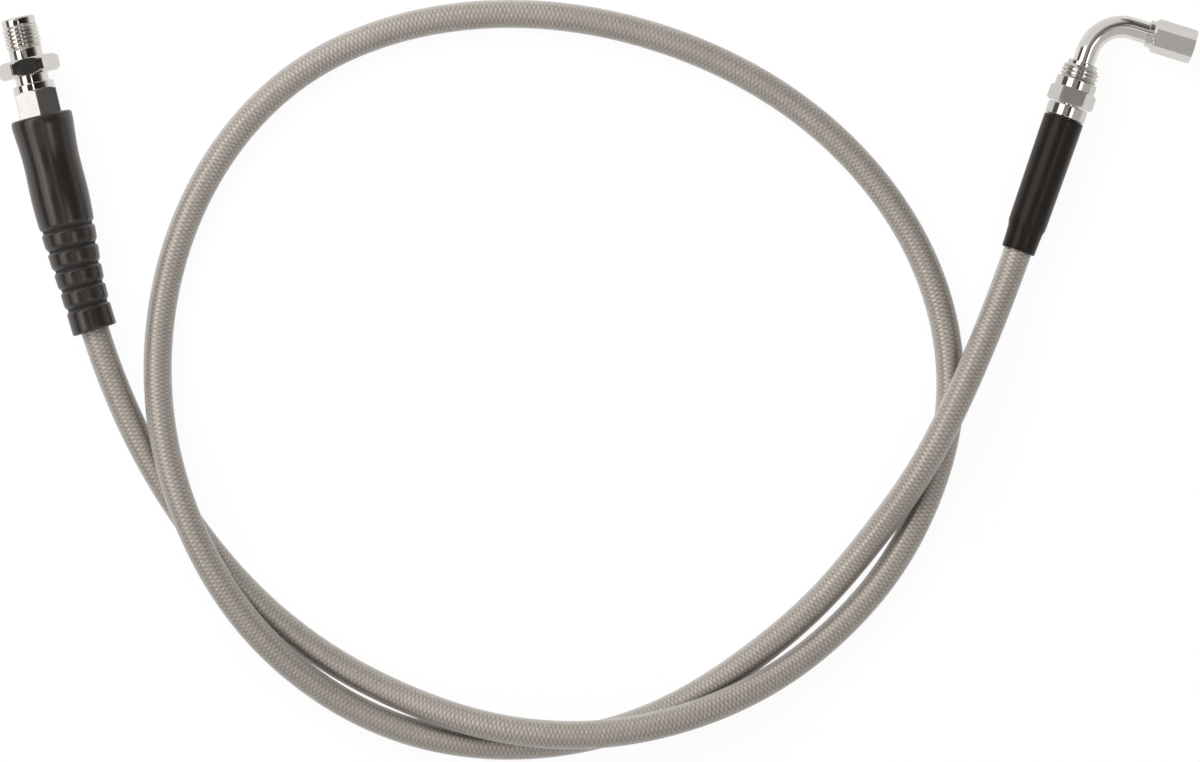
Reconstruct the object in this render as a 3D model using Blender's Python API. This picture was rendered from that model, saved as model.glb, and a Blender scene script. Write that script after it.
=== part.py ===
"""Braided hydraulic clutch line, lying flat in one loop with a crimped fitting on each end.

Each end fitting is modelled upright on its own +Z axis, with the hose at Z below 0 and the
threads above, and is laid down by the empty that carries it. The floor is at world Z = 0.
"""

import math

import bmesh
import bpy
import numpy as np
from mathutils import Matrix, Vector

MM = 0.001

# Clearances between pieces that touch on the real line
CLEARANCE = 0.3 * MM
LAYER_GAP = 0.35 * MM

# Hose: liner, wire braid and clear cover, from the bore outwards
HOSE_BORE_DIAMETER = 3.2 * MM
LINER_WALL = 0.5 * MM
BRAID_WALL = 0.5 * MM
COVER_WALL = 0.45 * MM
HOSE_STATIONS = 68
LINER_RADIUS = HOSE_BORE_DIAMETER / 2 + LINER_WALL
BRAID_RADIUS = LINER_RADIUS + LAYER_GAP + BRAID_WALL
COVER_RADIUS = BRAID_RADIUS + LAYER_GAP + COVER_WALL

# Hose route in millimetres, from the left hex round the loop to the right hex
HOSE_ROUTE = (
    (-147.0, 12.7, 8.23),
    (-140.3, -15.5, 7.43),
    (-133.5, -41.0, 6.70),
    (-121.3, -71.3, 4.80),
    (-108.3, -92.7, 3.95),
    (-89.7, -114.1, 3.90),
    (-69.0, -129.7, 3.95),
    (-51.0, -138.7, 5.45),
    (-29.2, -145.6, 10.10),
    (-2.4, -147.8, 12.25),
    (24.1, -142.9, 11.00),
    (48.0, -132.0, 6.15),
    (64.7, -118.7, 3.95),
    (76.8, -104.4, 3.90),
    (88.0, -82.5, 3.90),
    (92.8, -62.2, 3.90),
    (88.5, -28.9, 3.90),
    (58.7, 13.1, 3.90),
    (16.4, 36.3, 3.90),
    (-31.5, 42.6, 3.90),
    (-80.5, 26.2, 3.90),
    (-109.8, -12.6, 4.00),
    (-116.9, -46.8, 5.50),
    (-115.1, -69.3, 9.90),
    (-108.3, -91.8, 12.25),
    (-93.9, -116.8, 10.50),
    (-73.9, -135.7, 6.20),
    (-52.0, -146.8, 3.95),
    (-28.1, -151.1, 3.90),
    (-4.3, -149.2, 3.90),
    (18.5, -141.6, 3.90),
    (39.4, -128.7, 3.90),
    (57.8, -113.1, 4.00),
    (73.6, -94.4, 6.25),
    (85.3, -77.3, 11.30),
    (93.4, -61.9, 12.25),
    (102.6, -41.4, 8.75),
    (110.9, -20.0, 5.56),
    (117.1, -2.3, 5.56),
    (124.4, 18.5, 5.56),
)

# Crimp shells, which squeeze the bare braid, and the hose stem at the back of both unions
SHELL_GRIP_RADIUS = BRAID_RADIUS + CLEARANCE
SHELL_LIP_LENGTH = 1.7 * MM
HOSE_START = CLEARANCE + SHELL_LIP_LENGTH + CLEARANCE
STEM_LENGTH = 18.0 * MM
STEM_WALL = 0.5 * MM
STEM_RADIUS = HOSE_BORE_DIAMETER / 2 - LAYER_GAP
STEM_BORE_RADIUS = STEM_RADIUS - STEM_WALL
STEM_SHOULDER_RISE = 0.95 * MM
STEM_SHOULDER_RADIUS = STEM_RADIUS + STEM_SHOULDER_RISE
HEX_CHAMFER = 0.5 * MM

# Left union: hose hex, collar, plain shank, thread and seat tip
LEFT_PLACE = (-146.97 * MM, 12.66 * MM)
LEFT_HEADING = math.radians(13.3)
LEFT_HEX_FLATS = 11.11 * MM
LEFT_HEX_LENGTH = 10.0 * MM
LEFT_HEX_ROLL = math.radians(6)
LEFT_COLLAR_RADIUS = 5.5 * MM
LEFT_COLLAR_LENGTH = 1.75 * MM
SHANK_RADIUS = 4.4 * MM
SHANK_LENGTH = 9.35 * MM
LEFT_THREAD_RADIUS = 4.76 * MM
LEFT_THREAD_LENGTH = 6.35 * MM
THREAD_CHAMFER = 0.35 * MM
TIP_RADIUS = 4.5 * MM
TIP_LENGTH = 2.2 * MM
TIP_CHAMFER = 0.4 * MM
SEAT_RADIUS = 2.2 * MM
SEAT_DEPTH = 2.5 * MM
LEFT_SHELL_LENGTH = 20.0 * MM
LEFT_SHELL_WALL = 1.5 * MM
LEFT_SHELL_MOUTH_WALL = 1.85 * MM
LEFT_SHELL_MOUTH_LENGTH = 4.0 * MM
LEFT_SHELL_RADIUS = SHELL_GRIP_RADIUS + LEFT_SHELL_WALL
LEFT_SHELL_MOUTH_RADIUS = SHELL_GRIP_RADIUS + LEFT_SHELL_MOUTH_WALL

# Jam nut on the shank
JAM_NUT_FLATS = 14.29 * MM
JAM_NUT_CORNER_TRIM = 0.3 * MM
JAM_NUT_THICKNESS = 4.5 * MM
JAM_NUT_CHAMFER = 0.8 * MM
JAM_NUT_ROLL = math.radians(30)
JAM_NUT_STANDOFF = 2.25 * MM

# Rubber boot, from its mouth over the hex to its narrow end on the hose
BOOT_OVERLAP = 3.0 * MM
BOOT_MOUTH_WALL = 1.536 * MM
BOOT_MOUTH_RADIUS = LEFT_HEX_FLATS / math.sqrt(3) + CLEARANCE + BOOT_MOUTH_WALL
BOOT_RIM_ROUND = 0.8 * MM
BOOT_RIM_LENGTH = 2.5 * MM
BOOT_FLARE_LENGTH = 5.0 * MM
BOOT_FLARE_RADIUS = 7.73 * MM
BOOT_WAIST_LENGTH = 3.2 * MM
BOOT_WAIST_RADIUS = 7.55 * MM
BOOT_BELLY_LENGTH = 9.8 * MM
BOOT_BELLY_RADIUS = 7.75 * MM
BOOT_SHOULDER_LENGTH = 10.0 * MM
BOOT_GROOVES = 5
BOOT_GROOVE_PITCH = 5.3 * MM
BOOT_GROOVE_WIDTH = 1.5 * MM
BOOT_GROOVE_DEPTH = 0.45 * MM
BOOT_RIB_RADIUS = 7.35 * MM
BOOT_END_RADIUS = 6.0 * MM
BOOT_END_LENGTH = 6.7 * MM
BOOT_END_CHAMFER = 0.6 * MM
BOOT_BEND_LENGTH = 22.4 * MM
BOOT_BEND = math.radians(4)

# Right union: hose hex, sealing collar, thread and nose
RIGHT_PLACE = (124.36 * MM, 18.52 * MM)
RIGHT_HEADING = math.radians(-19.2)
RIGHT_HEX_FLATS = 11.11 * MM
RIGHT_HEX_LENGTH = 4.4 * MM
RIGHT_HEX_ROLL = math.radians(30)
RIGHT_COLLAR_RADIUS = 5.5 * MM
RIGHT_COLLAR_LENGTH = 2.5 * MM
RIGHT_THREAD_RADIUS = 5.0 * MM
RIGHT_THREAD_LENGTH = 3.7 * MM
NOSE_WALL = 0.75 * MM
NOSE_LENGTH = 1.2 * MM
RIGHT_SHELL_LENGTH = 33.2 * MM
RIGHT_SHELL_COLLAR_RADIUS = 5.4 * MM
RIGHT_SHELL_COLLAR_LENGTH = 3.2 * MM
RIGHT_SHELL_FRONT_WALL = 1.4 * MM
RIGHT_SHELL_REAR_WALL = 1.1 * MM
RIGHT_SHELL_FRONT_RADIUS = SHELL_GRIP_RADIUS + RIGHT_SHELL_FRONT_WALL
RIGHT_SHELL_REAR_RADIUS = SHELL_GRIP_RADIUS + RIGHT_SHELL_REAR_WALL

# Shrink sleeve over the right crimp shell and the first of the hose
SLEEVE_WALL = 0.45 * MM
SLEEVE_STEP_LENGTH = 1.0 * MM
SLEEVE_OVER_HOSE = 6.0 * MM
SLEEVE_TAPER = 0.25 * MM

# Bent tube: it starts in a socket in the right union's nose
TUBE_DIAMETER = 5.9 * MM
TUBE_WALL = 1.0 * MM
TUBE_SOCKET_DEPTH = 8.3 * MM
TUBE_SOCKET_RADIUS = TUBE_DIAMETER / 2 + CLEARANCE
TUBE_STRAIGHT_LENGTH = 3.5 * MM
TUBE_BEND_RADIUS = 9.5 * MM
TUBE_BEND = math.radians(88)
TUBE_BEND_STEPS = 12
TUBE_FAR_LENGTH = 4.3 * MM

# Hexagonal piece on the end of the tube
END_HEX_WALL = 0.72 * MM
END_HEX_FLATS = 2 * (TUBE_SOCKET_RADIUS + END_HEX_WALL)
END_HEX_CORNER_TRIM = 0.18 * MM
END_HEX_ROLL = math.radians(40)
END_COLLAR_WALL = 0.4 * MM
END_COLLAR_LENGTH = 1.3 * MM
END_SHOULDER_LENGTH = 0.9 * MM
END_TUBE_DEPTH = 7.0 * MM
END_WEB_LENGTH = 2.2 * MM
END_PORT_DEPTH = 3.6 * MM
END_PASSAGE_RADIUS = 1.5 * MM
END_PORT_RADIUS = 2.5 * MM

ROUND_SIDES = 24
SMOOTH_UP_TO = math.radians(35)


def clear_scene():
    """Start from an empty scene."""
    for thing in list(bpy.data.objects):
        bpy.data.objects.remove(thing)


def finish(name, colour, roughness, metallic, transmission=0.0):
    """A plain material for one piece."""
    made = bpy.data.materials.new(name)
    made.use_nodes = True
    shader = made.node_tree.nodes["Principled BSDF"]
    shader.inputs["Base Color"].default_value = (*colour, 1.0)
    shader.inputs["Roughness"].default_value = roughness
    shader.inputs["Metallic"].default_value = metallic
    shader.inputs["Transmission Weight"].default_value = transmission
    return made


def chrome(name):
    return finish(name, (0.78, 0.76, 0.74), 0.12, 1.0)


def carrier(name, place, pitch, heading):
    """An empty that lays an upright fitting down, with its tip raised by the pitch."""
    empty = bpy.data.objects.new(name, None)
    bpy.context.scene.collection.objects.link(empty)
    empty.location = place
    empty.rotation_euler = (pitch - math.pi / 2, 0.0, heading)
    return empty


def add_piece(name, data, material, parent=None):
    piece = bpy.data.objects.new(name, data)
    bpy.context.scene.collection.objects.link(piece)
    piece.parent = parent
    data.materials.append(material)
    return piece


def hex_reach(angle, flats):
    """How far a hexagon reaches from its middle in one direction."""
    off_flat = (angle + math.pi / 6) % (math.pi / 3) - math.pi / 6
    return flats / 2 / math.cos(off_flat)


def upright(height):
    """The place of one ring on a straight axis."""
    return Matrix.Translation((0.0, 0.0, height))


def turned(name, outline, material, parent, roll=0.0, spine=upright):
    """A closed turned shell, from stations of (radius, height) or (radius, height, flats).

    The outline runs up the outside and back down the bore. A station with flats is a hexagon
    whose corners reach no further than its radius.
    """
    shell = bmesh.new()
    rings = []
    for radius, height, *flats in outline:
        place = spine(height)
        ring = []
        for side in range(ROUND_SIDES):
            angle = math.tau * side / ROUND_SIDES
            reach = min([radius] + [hex_reach(angle, size) for size in flats])
            spot = Vector((reach * math.cos(angle), reach * math.sin(angle), 0.0))
            ring.append(shell.verts.new(place @ spot))
        rings.append(ring)
    for near, far in zip(rings, rings[1:] + rings[:1]):
        for side in range(ROUND_SIDES):
            after = (side + 1) % ROUND_SIDES
            shell.faces.new((near[side], near[after], far[after], far[side]))
    bmesh.ops.recalc_face_normals(shell, faces=shell.faces)
    mesh = bpy.data.meshes.new(name)
    shell.to_mesh(mesh)
    shell.free()
    mesh.shade_smooth()
    mesh.set_sharp_from_angle(angle=SMOOTH_UP_TO)
    piece = add_piece(name, mesh, material, parent)
    piece.rotation_euler.z = roll
    return piece


def tube(name, points, radius, wall, resolution, material, parent=None):
    """A hollow tube that follows the points."""
    line = bpy.data.curves.new(name, "CURVE")
    line.dimensions = "3D"
    line.bevel_depth = radius
    line.bevel_resolution = resolution
    line.use_fill_caps = False
    run = line.splines.new("POLY")
    run.points.add(len(points) - 1)
    for knot, point in zip(run.points, points):
        knot.co = (*point, 1.0)
    run.use_smooth = True
    piece = add_piece(name, line, material, parent)
    hollow = piece.modifiers.new("Wall", "SOLIDIFY")
    hollow.thickness = wall
    hollow.offset = -1.0
    hollow.use_rim = True
    return piece


def lengths_along(points):
    """The distance of each point from the first, along the line."""
    steps = np.linalg.norm(np.diff(points, axis=0), axis=1)
    return np.concatenate([[0.0], np.cumsum(steps)])


def smooth_line(route, count):
    """Evenly spaced points on the natural cubic spline through the route's points."""
    knots = np.array(route)
    at = lengths_along(knots)
    gap = np.diff(at)
    size = len(knots)
    system = np.eye(size)
    bends = np.zeros((size, 3))
    for i in range(1, size - 1):
        system[i, i - 1 : i + 2] = gap[i - 1], 2 * (gap[i - 1] + gap[i]), gap[i]
        rise = (knots[i + 1] - knots[i]) / gap[i]
        bends[i] = 6 * (rise - (knots[i] - knots[i - 1]) / gap[i - 1])
    bends = np.linalg.solve(system, bends)

    fine = np.linspace(0.0, at[-1], 40 * count)
    i = np.clip(np.searchsorted(at, fine, side="right") - 1, 0, size - 2)
    width = gap[i][:, None]
    past = (fine - at[i])[:, None]
    left = (at[i + 1] - fine)[:, None]
    curve = (bends[i] * left**3 + bends[i + 1] * past**3) / (6 * width)
    curve += (knots[i] / width - bends[i] * width / 6) * left
    curve += (knots[i + 1] / width - bends[i + 1] * width / 6) * past
    return evenly(curve, count)


def evenly(points, count):
    """The same line with its points spread evenly."""
    along = lengths_along(points)
    spread = np.linspace(0.0, along[-1], count)
    return np.stack([np.interp(spread, along, points[:, k]) for k in range(3)], axis=1)


def trimmed(points, start, end):
    """The line without a stretch at its start and one at its end."""
    along = lengths_along(points)
    first, last = start, along[-1] - end
    ends = [[np.interp(x, along, points[:, k]) for k in range(3)] for x in (first, last)]
    kept = points[(along > first) & (along < last)]
    return np.concatenate([[ends[0]], kept, [ends[1]]])


def hose():
    """The three layers of the hose: fluid liner, wire braid and clear cover."""
    whole = smooth_line(np.array(HOSE_ROUTE) * MM, HOSE_STATIONS)
    line = trimmed(whole, HOSE_START, HOSE_START)
    left_bare = LEFT_SHELL_LENGTH + 2 * CLEARANCE
    right_bare = RIGHT_SHELL_LENGTH + 2 * CLEARANCE
    covered = trimmed(whole, left_bare, right_bare)
    liner = finish("liner_plastic", (0.82, 0.81, 0.78), 0.4, 0.0)
    braid = finish("braid_steel", (0.36, 0.34, 0.31), 0.4, 0.9)
    cover = finish("cover_clear", (0.86, 0.84, 0.80), 0.15, 0.0, transmission=0.9)
    tube("hose_liner", line, LINER_RADIUS, LINER_WALL, 2, liner)
    tube("hose_braid", line, BRAID_RADIUS, BRAID_WALL, 2, braid)
    tube("hose_cover", covered, COVER_RADIUS, COVER_WALL, 3, cover)


def stem_outline():
    """The outside of a hose stem, from its end up to the back of the hex."""
    shoulder = -CLEARANCE - SHELL_LIP_LENGTH
    return [
        (STEM_RADIUS, -STEM_LENGTH),
        (STEM_RADIUS, shoulder),
        (STEM_SHOULDER_RADIUS, shoulder),
        (STEM_SHOULDER_RADIUS, 0.0),
    ]


def hex_outline(flats, bottom, top, chamfer, trim=0.0):
    """A hexagon with its corners trimmed to a round, and turned off at both ends."""
    corner = flats / math.sqrt(3) - trim
    return [
        (flats / 2, bottom),
        (corner, bottom + chamfer, flats),
        (corner, top - chamfer, flats),
        (flats / 2, top),
    ]


def left_union(parent):
    """The threaded union, turned in one piece from its hose stem to its seat."""
    collar = LEFT_HEX_LENGTH + LEFT_COLLAR_LENGTH
    thread = collar + SHANK_LENGTH
    tip = thread + LEFT_THREAD_LENGTH
    face = tip + TIP_LENGTH
    outline = stem_outline()
    outline += hex_outline(LEFT_HEX_FLATS, 0.0, LEFT_HEX_LENGTH, HEX_CHAMFER)
    outline += [
        (LEFT_COLLAR_RADIUS, LEFT_HEX_LENGTH),
        (LEFT_COLLAR_RADIUS, collar),
        (SHANK_RADIUS, collar),
        (SHANK_RADIUS, thread),
        (LEFT_THREAD_RADIUS, thread + THREAD_CHAMFER),
        (LEFT_THREAD_RADIUS, tip - THREAD_CHAMFER),
        (TIP_RADIUS, tip),
        (TIP_RADIUS, face - TIP_CHAMFER),
        (TIP_RADIUS - TIP_CHAMFER, face),
        (SEAT_RADIUS, face),
        (STEM_BORE_RADIUS, face - SEAT_DEPTH),
        (STEM_BORE_RADIUS, -STEM_LENGTH),
    ]
    turned("left_union", outline, chrome("union_chrome"), parent, roll=LEFT_HEX_ROLL)


def jam_nut(parent):
    """The thin nut that locks the left union where it is screwed in."""
    bottom = LEFT_HEX_LENGTH + LEFT_COLLAR_LENGTH + JAM_NUT_STANDOFF
    top = bottom + JAM_NUT_THICKNESS
    hole = SHANK_RADIUS + CLEARANCE
    outline = hex_outline(JAM_NUT_FLATS, bottom, top, JAM_NUT_CHAMFER, JAM_NUT_CORNER_TRIM)
    outline += [(hole, top), (hole, bottom)]
    turned("jam_nut", outline, chrome("nut_chrome"), parent, roll=JAM_NUT_ROLL)


def shell_bore(length):
    """The inside of a crimp shell, from the lip behind the hex down to its open end."""
    lip = STEM_SHOULDER_RADIUS + CLEARANCE
    lip_end = -CLEARANCE - SHELL_LIP_LENGTH
    open_end = -CLEARANCE - length
    return [
        (lip, -CLEARANCE),
        (lip, lip_end),
        (SHELL_GRIP_RADIUS, lip_end),
        (SHELL_GRIP_RADIUS, open_end),
    ]


def left_shell(parent):
    """The crimp shell that the boot hides."""
    step = -CLEARANCE - LEFT_SHELL_MOUTH_LENGTH
    outline = [
        (LEFT_SHELL_RADIUS, -CLEARANCE - LEFT_SHELL_LENGTH),
        (LEFT_SHELL_RADIUS, step),
        (LEFT_SHELL_MOUTH_RADIUS, step),
        (LEFT_SHELL_MOUTH_RADIUS, -CLEARANCE),
    ]
    outline += shell_bore(LEFT_SHELL_LENGTH)
    turned("left_crimp_shell", outline, chrome("left_shell_chrome"), parent)


def boot_outside():
    """The boot's outside as (distance behind the mouth, radius)."""
    bulge = BOOT_RIM_ROUND * math.sin(math.pi / 4)
    rim = BOOT_MOUTH_RADIUS - BOOT_RIM_ROUND
    flare = BOOT_RIM_LENGTH + BOOT_FLARE_LENGTH
    waist = flare + BOOT_WAIST_LENGTH
    belly = waist + BOOT_BELLY_LENGTH
    groove = belly + BOOT_SHOULDER_LENGTH
    points = [
        (0.0, rim),
        (BOOT_RIM_ROUND - bulge, rim + bulge),
        (BOOT_RIM_ROUND, BOOT_MOUTH_RADIUS),
        (BOOT_RIM_LENGTH, BOOT_MOUTH_RADIUS),
        (flare, BOOT_FLARE_RADIUS),
        (waist, BOOT_WAIST_RADIUS),
        (belly, BOOT_BELLY_RADIUS),
    ]
    for rib in np.linspace(BOOT_RIB_RADIUS, BOOT_END_RADIUS, BOOT_GROOVES):
        points += [
            (groove - BOOT_GROOVE_WIDTH / 2, rib),
            (groove, rib - BOOT_GROOVE_DEPTH),
            (groove + BOOT_GROOVE_WIDTH / 2, rib),
        ]
        groove += BOOT_GROOVE_PITCH
    end = groove - BOOT_GROOVE_PITCH + BOOT_END_LENGTH
    points += [
        (end - BOOT_END_CHAMFER, BOOT_END_RADIUS),
        (end, BOOT_END_RADIUS - BOOT_END_CHAMFER),
    ]
    return points


def boot_spine(height):
    """The boot's axis: straight from its mouth, then curving towards the loop."""
    length = boot_outside()[-1][0]
    radius = BOOT_BEND_LENGTH / BOOT_BEND
    bend_height = BOOT_OVERLAP - length + BOOT_BEND_LENGTH
    turn = max(0.0, bend_height - height) / radius
    aside = radius * (1 - math.cos(turn))
    along = max(height, bend_height) - radius * math.sin(turn)
    return Matrix.Translation((aside, 0.0, along)) @ Matrix.Rotation(-turn, 4, "Y")


def boot(parent):
    """The rubber boot over the left crimp, with its grip grooves."""
    outside = boot_outside()
    length = outside[-1][0]
    hose_hole = COVER_RADIUS + CLEARANCE
    shell_pocket = max(LEFT_SHELL_RADIUS, LEFT_SHELL_MOUTH_RADIUS) + CLEARANCE
    hex_pocket = BOOT_MOUTH_RADIUS - BOOT_MOUTH_WALL
    hex_floor = BOOT_OVERLAP + CLEARANCE
    shell_floor = hex_floor + LEFT_SHELL_LENGTH + CLEARANCE
    cone = shell_pocket - hose_hole
    inside = [
        (length, hose_hole),
        (shell_floor + cone, hose_hole),
        (shell_floor, shell_pocket),
        (hex_floor, shell_pocket),
        (hex_floor, hex_pocket),
        (0.0, hex_pocket),
    ]
    outline = [(radius, BOOT_OVERLAP - back) for back, radius in outside + inside]
    rubber = finish("boot_rubber", (0.028, 0.024, 0.021), 0.5, 0.0)
    turned("rubber_boot", outline, rubber, parent, spine=boot_spine)


def right_faces():
    """The heights of the right union's collar, thread and nose, each at its top."""
    collar = RIGHT_HEX_LENGTH + RIGHT_COLLAR_LENGTH
    thread = collar + RIGHT_THREAD_LENGTH
    return collar, thread, thread + NOSE_LENGTH


def right_union(parent):
    """The threaded body that screws into the clutch cover, bored for the tube."""
    collar, thread, face = right_faces()
    socket_floor = face - TUBE_SOCKET_DEPTH
    outline = stem_outline()
    outline += hex_outline(RIGHT_HEX_FLATS, 0.0, RIGHT_HEX_LENGTH, HEX_CHAMFER)
    outline += [
        (RIGHT_COLLAR_RADIUS, RIGHT_HEX_LENGTH),
        (RIGHT_COLLAR_RADIUS, collar),
        (RIGHT_THREAD_RADIUS, collar),
        (RIGHT_THREAD_RADIUS, thread - THREAD_CHAMFER),
        (RIGHT_THREAD_RADIUS - THREAD_CHAMFER, thread),
        (TUBE_SOCKET_RADIUS + NOSE_WALL, thread),
        (TUBE_SOCKET_RADIUS + NOSE_WALL, face),
        (TUBE_SOCKET_RADIUS, face),
        (TUBE_SOCKET_RADIUS, socket_floor),
        (STEM_BORE_RADIUS, socket_floor),
        (STEM_BORE_RADIUS, -STEM_LENGTH),
    ]
    turned("right_union", outline, chrome("right_union_chrome"), parent, roll=RIGHT_HEX_ROLL)


def right_shell(parent):
    """The crimp shell whose collar shows between the hex and the sleeve."""
    step = -CLEARANCE - RIGHT_SHELL_COLLAR_LENGTH
    outline = [
        (RIGHT_SHELL_REAR_RADIUS, -CLEARANCE - RIGHT_SHELL_LENGTH),
        (RIGHT_SHELL_FRONT_RADIUS, step),
        (RIGHT_SHELL_COLLAR_RADIUS, step),
        (RIGHT_SHELL_COLLAR_RADIUS, -CLEARANCE),
    ]
    outline += shell_bore(RIGHT_SHELL_LENGTH)
    turned("right_crimp_shell", outline, chrome("right_shell_chrome"), parent)


def sleeve(parent):
    """The shrink sleeve, drawn down over the shell and on to the hose."""
    front = -2 * CLEARANCE - RIGHT_SHELL_COLLAR_LENGTH
    step = -2 * CLEARANCE - RIGHT_SHELL_LENGTH
    stepped = step - SLEEVE_STEP_LENGTH
    over_hose = COVER_RADIUS + CLEARANCE
    inside = [
        (RIGHT_SHELL_FRONT_RADIUS + CLEARANCE, front),
        (RIGHT_SHELL_REAR_RADIUS + CLEARANCE, step),
        (over_hose + SLEEVE_TAPER, stepped),
        (over_hose, stepped - SLEEVE_OVER_HOSE),
    ]
    outside = [(radius + SLEEVE_WALL, height) for radius, height in reversed(inside)]
    plastic = finish("sleeve_plastic", (0.022, 0.018, 0.016), 0.42, 0.0)
    turned("shrink_sleeve", outside + inside, plastic, parent)


def corner_height():
    """Where the middles of the tube's two straight legs would meet."""
    return right_faces()[-1] + TUBE_STRAIGHT_LENGTH + bend_leg()


def bend_leg():
    """How much of each straight leg the tube's bend takes up."""
    return TUBE_BEND_RADIUS * math.tan(TUBE_BEND / 2)


def past_bend(distance):
    """A point on the tube's far leg, measured from the end of the bend."""
    reach = bend_leg() + distance
    return (reach * math.sin(TUBE_BEND), 0.0, corner_height() + reach * math.cos(TUBE_BEND))


def bent_tube(parent):
    """The tube from its socket in the union, round its bend and into the end piece."""
    socket_floor = right_faces()[-1] - TUBE_SOCKET_DEPTH
    bend_height = corner_height() - bend_leg()
    points = [(0.0, 0.0, socket_floor + CLEARANCE)]
    for turn in np.linspace(0.0, TUBE_BEND, TUBE_BEND_STEPS + 1):
        aside = TUBE_BEND_RADIUS * (1 - math.cos(turn))
        points.append((aside, 0.0, bend_height + TUBE_BEND_RADIUS * math.sin(turn)))
    points.append(past_bend(TUBE_FAR_LENGTH + END_TUBE_DEPTH - CLEARANCE))
    tube("bent_tube", points, TUBE_DIAMETER / 2, TUBE_WALL, 4, chrome("tube_chrome"), parent)


def end_hex(parent):
    """The hexagonal end piece that is fixed on the tube."""
    web = END_TUBE_DEPTH + END_WEB_LENGTH
    face = web + END_PORT_DEPTH
    shoulder = END_COLLAR_LENGTH + END_SHOULDER_LENGTH
    collar_radius = TUBE_SOCKET_RADIUS + END_COLLAR_WALL
    corner_radius = END_HEX_FLATS / math.sqrt(3) - END_HEX_CORNER_TRIM
    outline = [
        (collar_radius, 0.0),
        (collar_radius, END_COLLAR_LENGTH),
        (corner_radius, shoulder, END_HEX_FLATS),
        (corner_radius, face - HEX_CHAMFER, END_HEX_FLATS),
        (END_HEX_FLATS / 2 - HEX_CHAMFER, face),
        (END_PORT_RADIUS, face),
        (END_PORT_RADIUS, web),
        (END_PASSAGE_RADIUS, web),
        (END_PASSAGE_RADIUS, END_TUBE_DEPTH),
        (TUBE_SOCKET_RADIUS, END_TUBE_DEPTH),
        (TUBE_SOCKET_RADIUS, 0.0),
    ]
    piece = turned("tube_end_hex", outline, chrome("end_hex_chrome"), parent)
    piece.location = past_bend(TUBE_FAR_LENGTH)
    piece.rotation_euler = (0.0, TUBE_BEND, 0.0)
    piece.rotation_euler.rotate_axis("Z", END_HEX_ROLL)


def left_end():
    """The left fitting, lying on the boot's rim and on its belly."""
    rim_to_belly = BOOT_FLARE_LENGTH + BOOT_WAIST_LENGTH + BOOT_BELLY_LENGTH
    pitch = math.atan2(BOOT_MOUTH_RADIUS - BOOT_BELLY_RADIUS, rim_to_belly)
    past_rim = BOOT_RIM_LENGTH - BOOT_OVERLAP
    height = BOOT_MOUTH_RADIUS * math.cos(pitch) + past_rim * math.sin(pitch)
    place = carrier("left_end", (*LEFT_PLACE, height), pitch, LEFT_HEADING)
    left_union(place)
    jam_nut(place)
    left_shell(place)
    boot(place)


def right_end():
    """The right fitting, lying on one flat of its hex."""
    height = max(RIGHT_HEX_FLATS / 2, RIGHT_COLLAR_RADIUS, RIGHT_SHELL_COLLAR_RADIUS)
    place = carrier("right_end", (*RIGHT_PLACE, height), 0.0, RIGHT_HEADING)
    right_union(place)
    right_shell(place)
    sleeve(place)
    bent_tube(place)
    end_hex(place)


clear_scene()
hose()
left_end()
right_end()
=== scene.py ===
"""Braided hydraulic clutch line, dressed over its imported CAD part.

Lengths are in metres. Each end fitting is modelled on its own upright +Z axis, with the hose
below 0 and the threads above, and is then laid down where the CAD part has it.
"""

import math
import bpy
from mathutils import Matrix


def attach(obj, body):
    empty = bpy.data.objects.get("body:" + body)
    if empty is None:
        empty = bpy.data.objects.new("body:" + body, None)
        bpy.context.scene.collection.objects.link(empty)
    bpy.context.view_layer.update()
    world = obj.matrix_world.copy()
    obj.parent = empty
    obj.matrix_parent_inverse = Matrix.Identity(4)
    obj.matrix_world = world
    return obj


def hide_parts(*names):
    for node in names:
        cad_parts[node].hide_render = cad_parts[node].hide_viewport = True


bl_info = {
    "name": "Braided Clutch Line",
    "version": (1, 0, 0),
    "blender": (4, 5, 0),
    "location": "3D View > Sidebar > Clutch Line",
    "description": "Builds a braided clutch line with its two crimped end fittings and a studio",
    "category": "Add Mesh",
}

from contextlib import contextmanager

import bmesh
import bpy
import numpy as np
from bpy.props import FloatProperty, FloatVectorProperty, IntProperty, PointerProperty
from bpy.types import Operator, Panel, PropertyGroup
from mathutils import Euler, Matrix, Vector

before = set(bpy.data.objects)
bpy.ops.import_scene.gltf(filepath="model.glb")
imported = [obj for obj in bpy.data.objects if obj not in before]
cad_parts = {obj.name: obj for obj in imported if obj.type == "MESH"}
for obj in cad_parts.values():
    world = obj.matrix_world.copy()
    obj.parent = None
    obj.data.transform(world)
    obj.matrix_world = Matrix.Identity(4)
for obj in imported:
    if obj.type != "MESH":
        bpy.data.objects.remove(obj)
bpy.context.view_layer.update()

MM = 0.001
WHITE = (1.0, 1.0, 1.0)

# Points round a turned piece, and the share by which those beside a hex's corner close up to it
SIDES = 96
CORNER_PULL = 0.573

# Edges with more than so many degrees between their faces stay sharp
SHARP_FACETED = 9.0
SHARP_ROUND = 35.0
SHARP_MOULDED = 50.0

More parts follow.
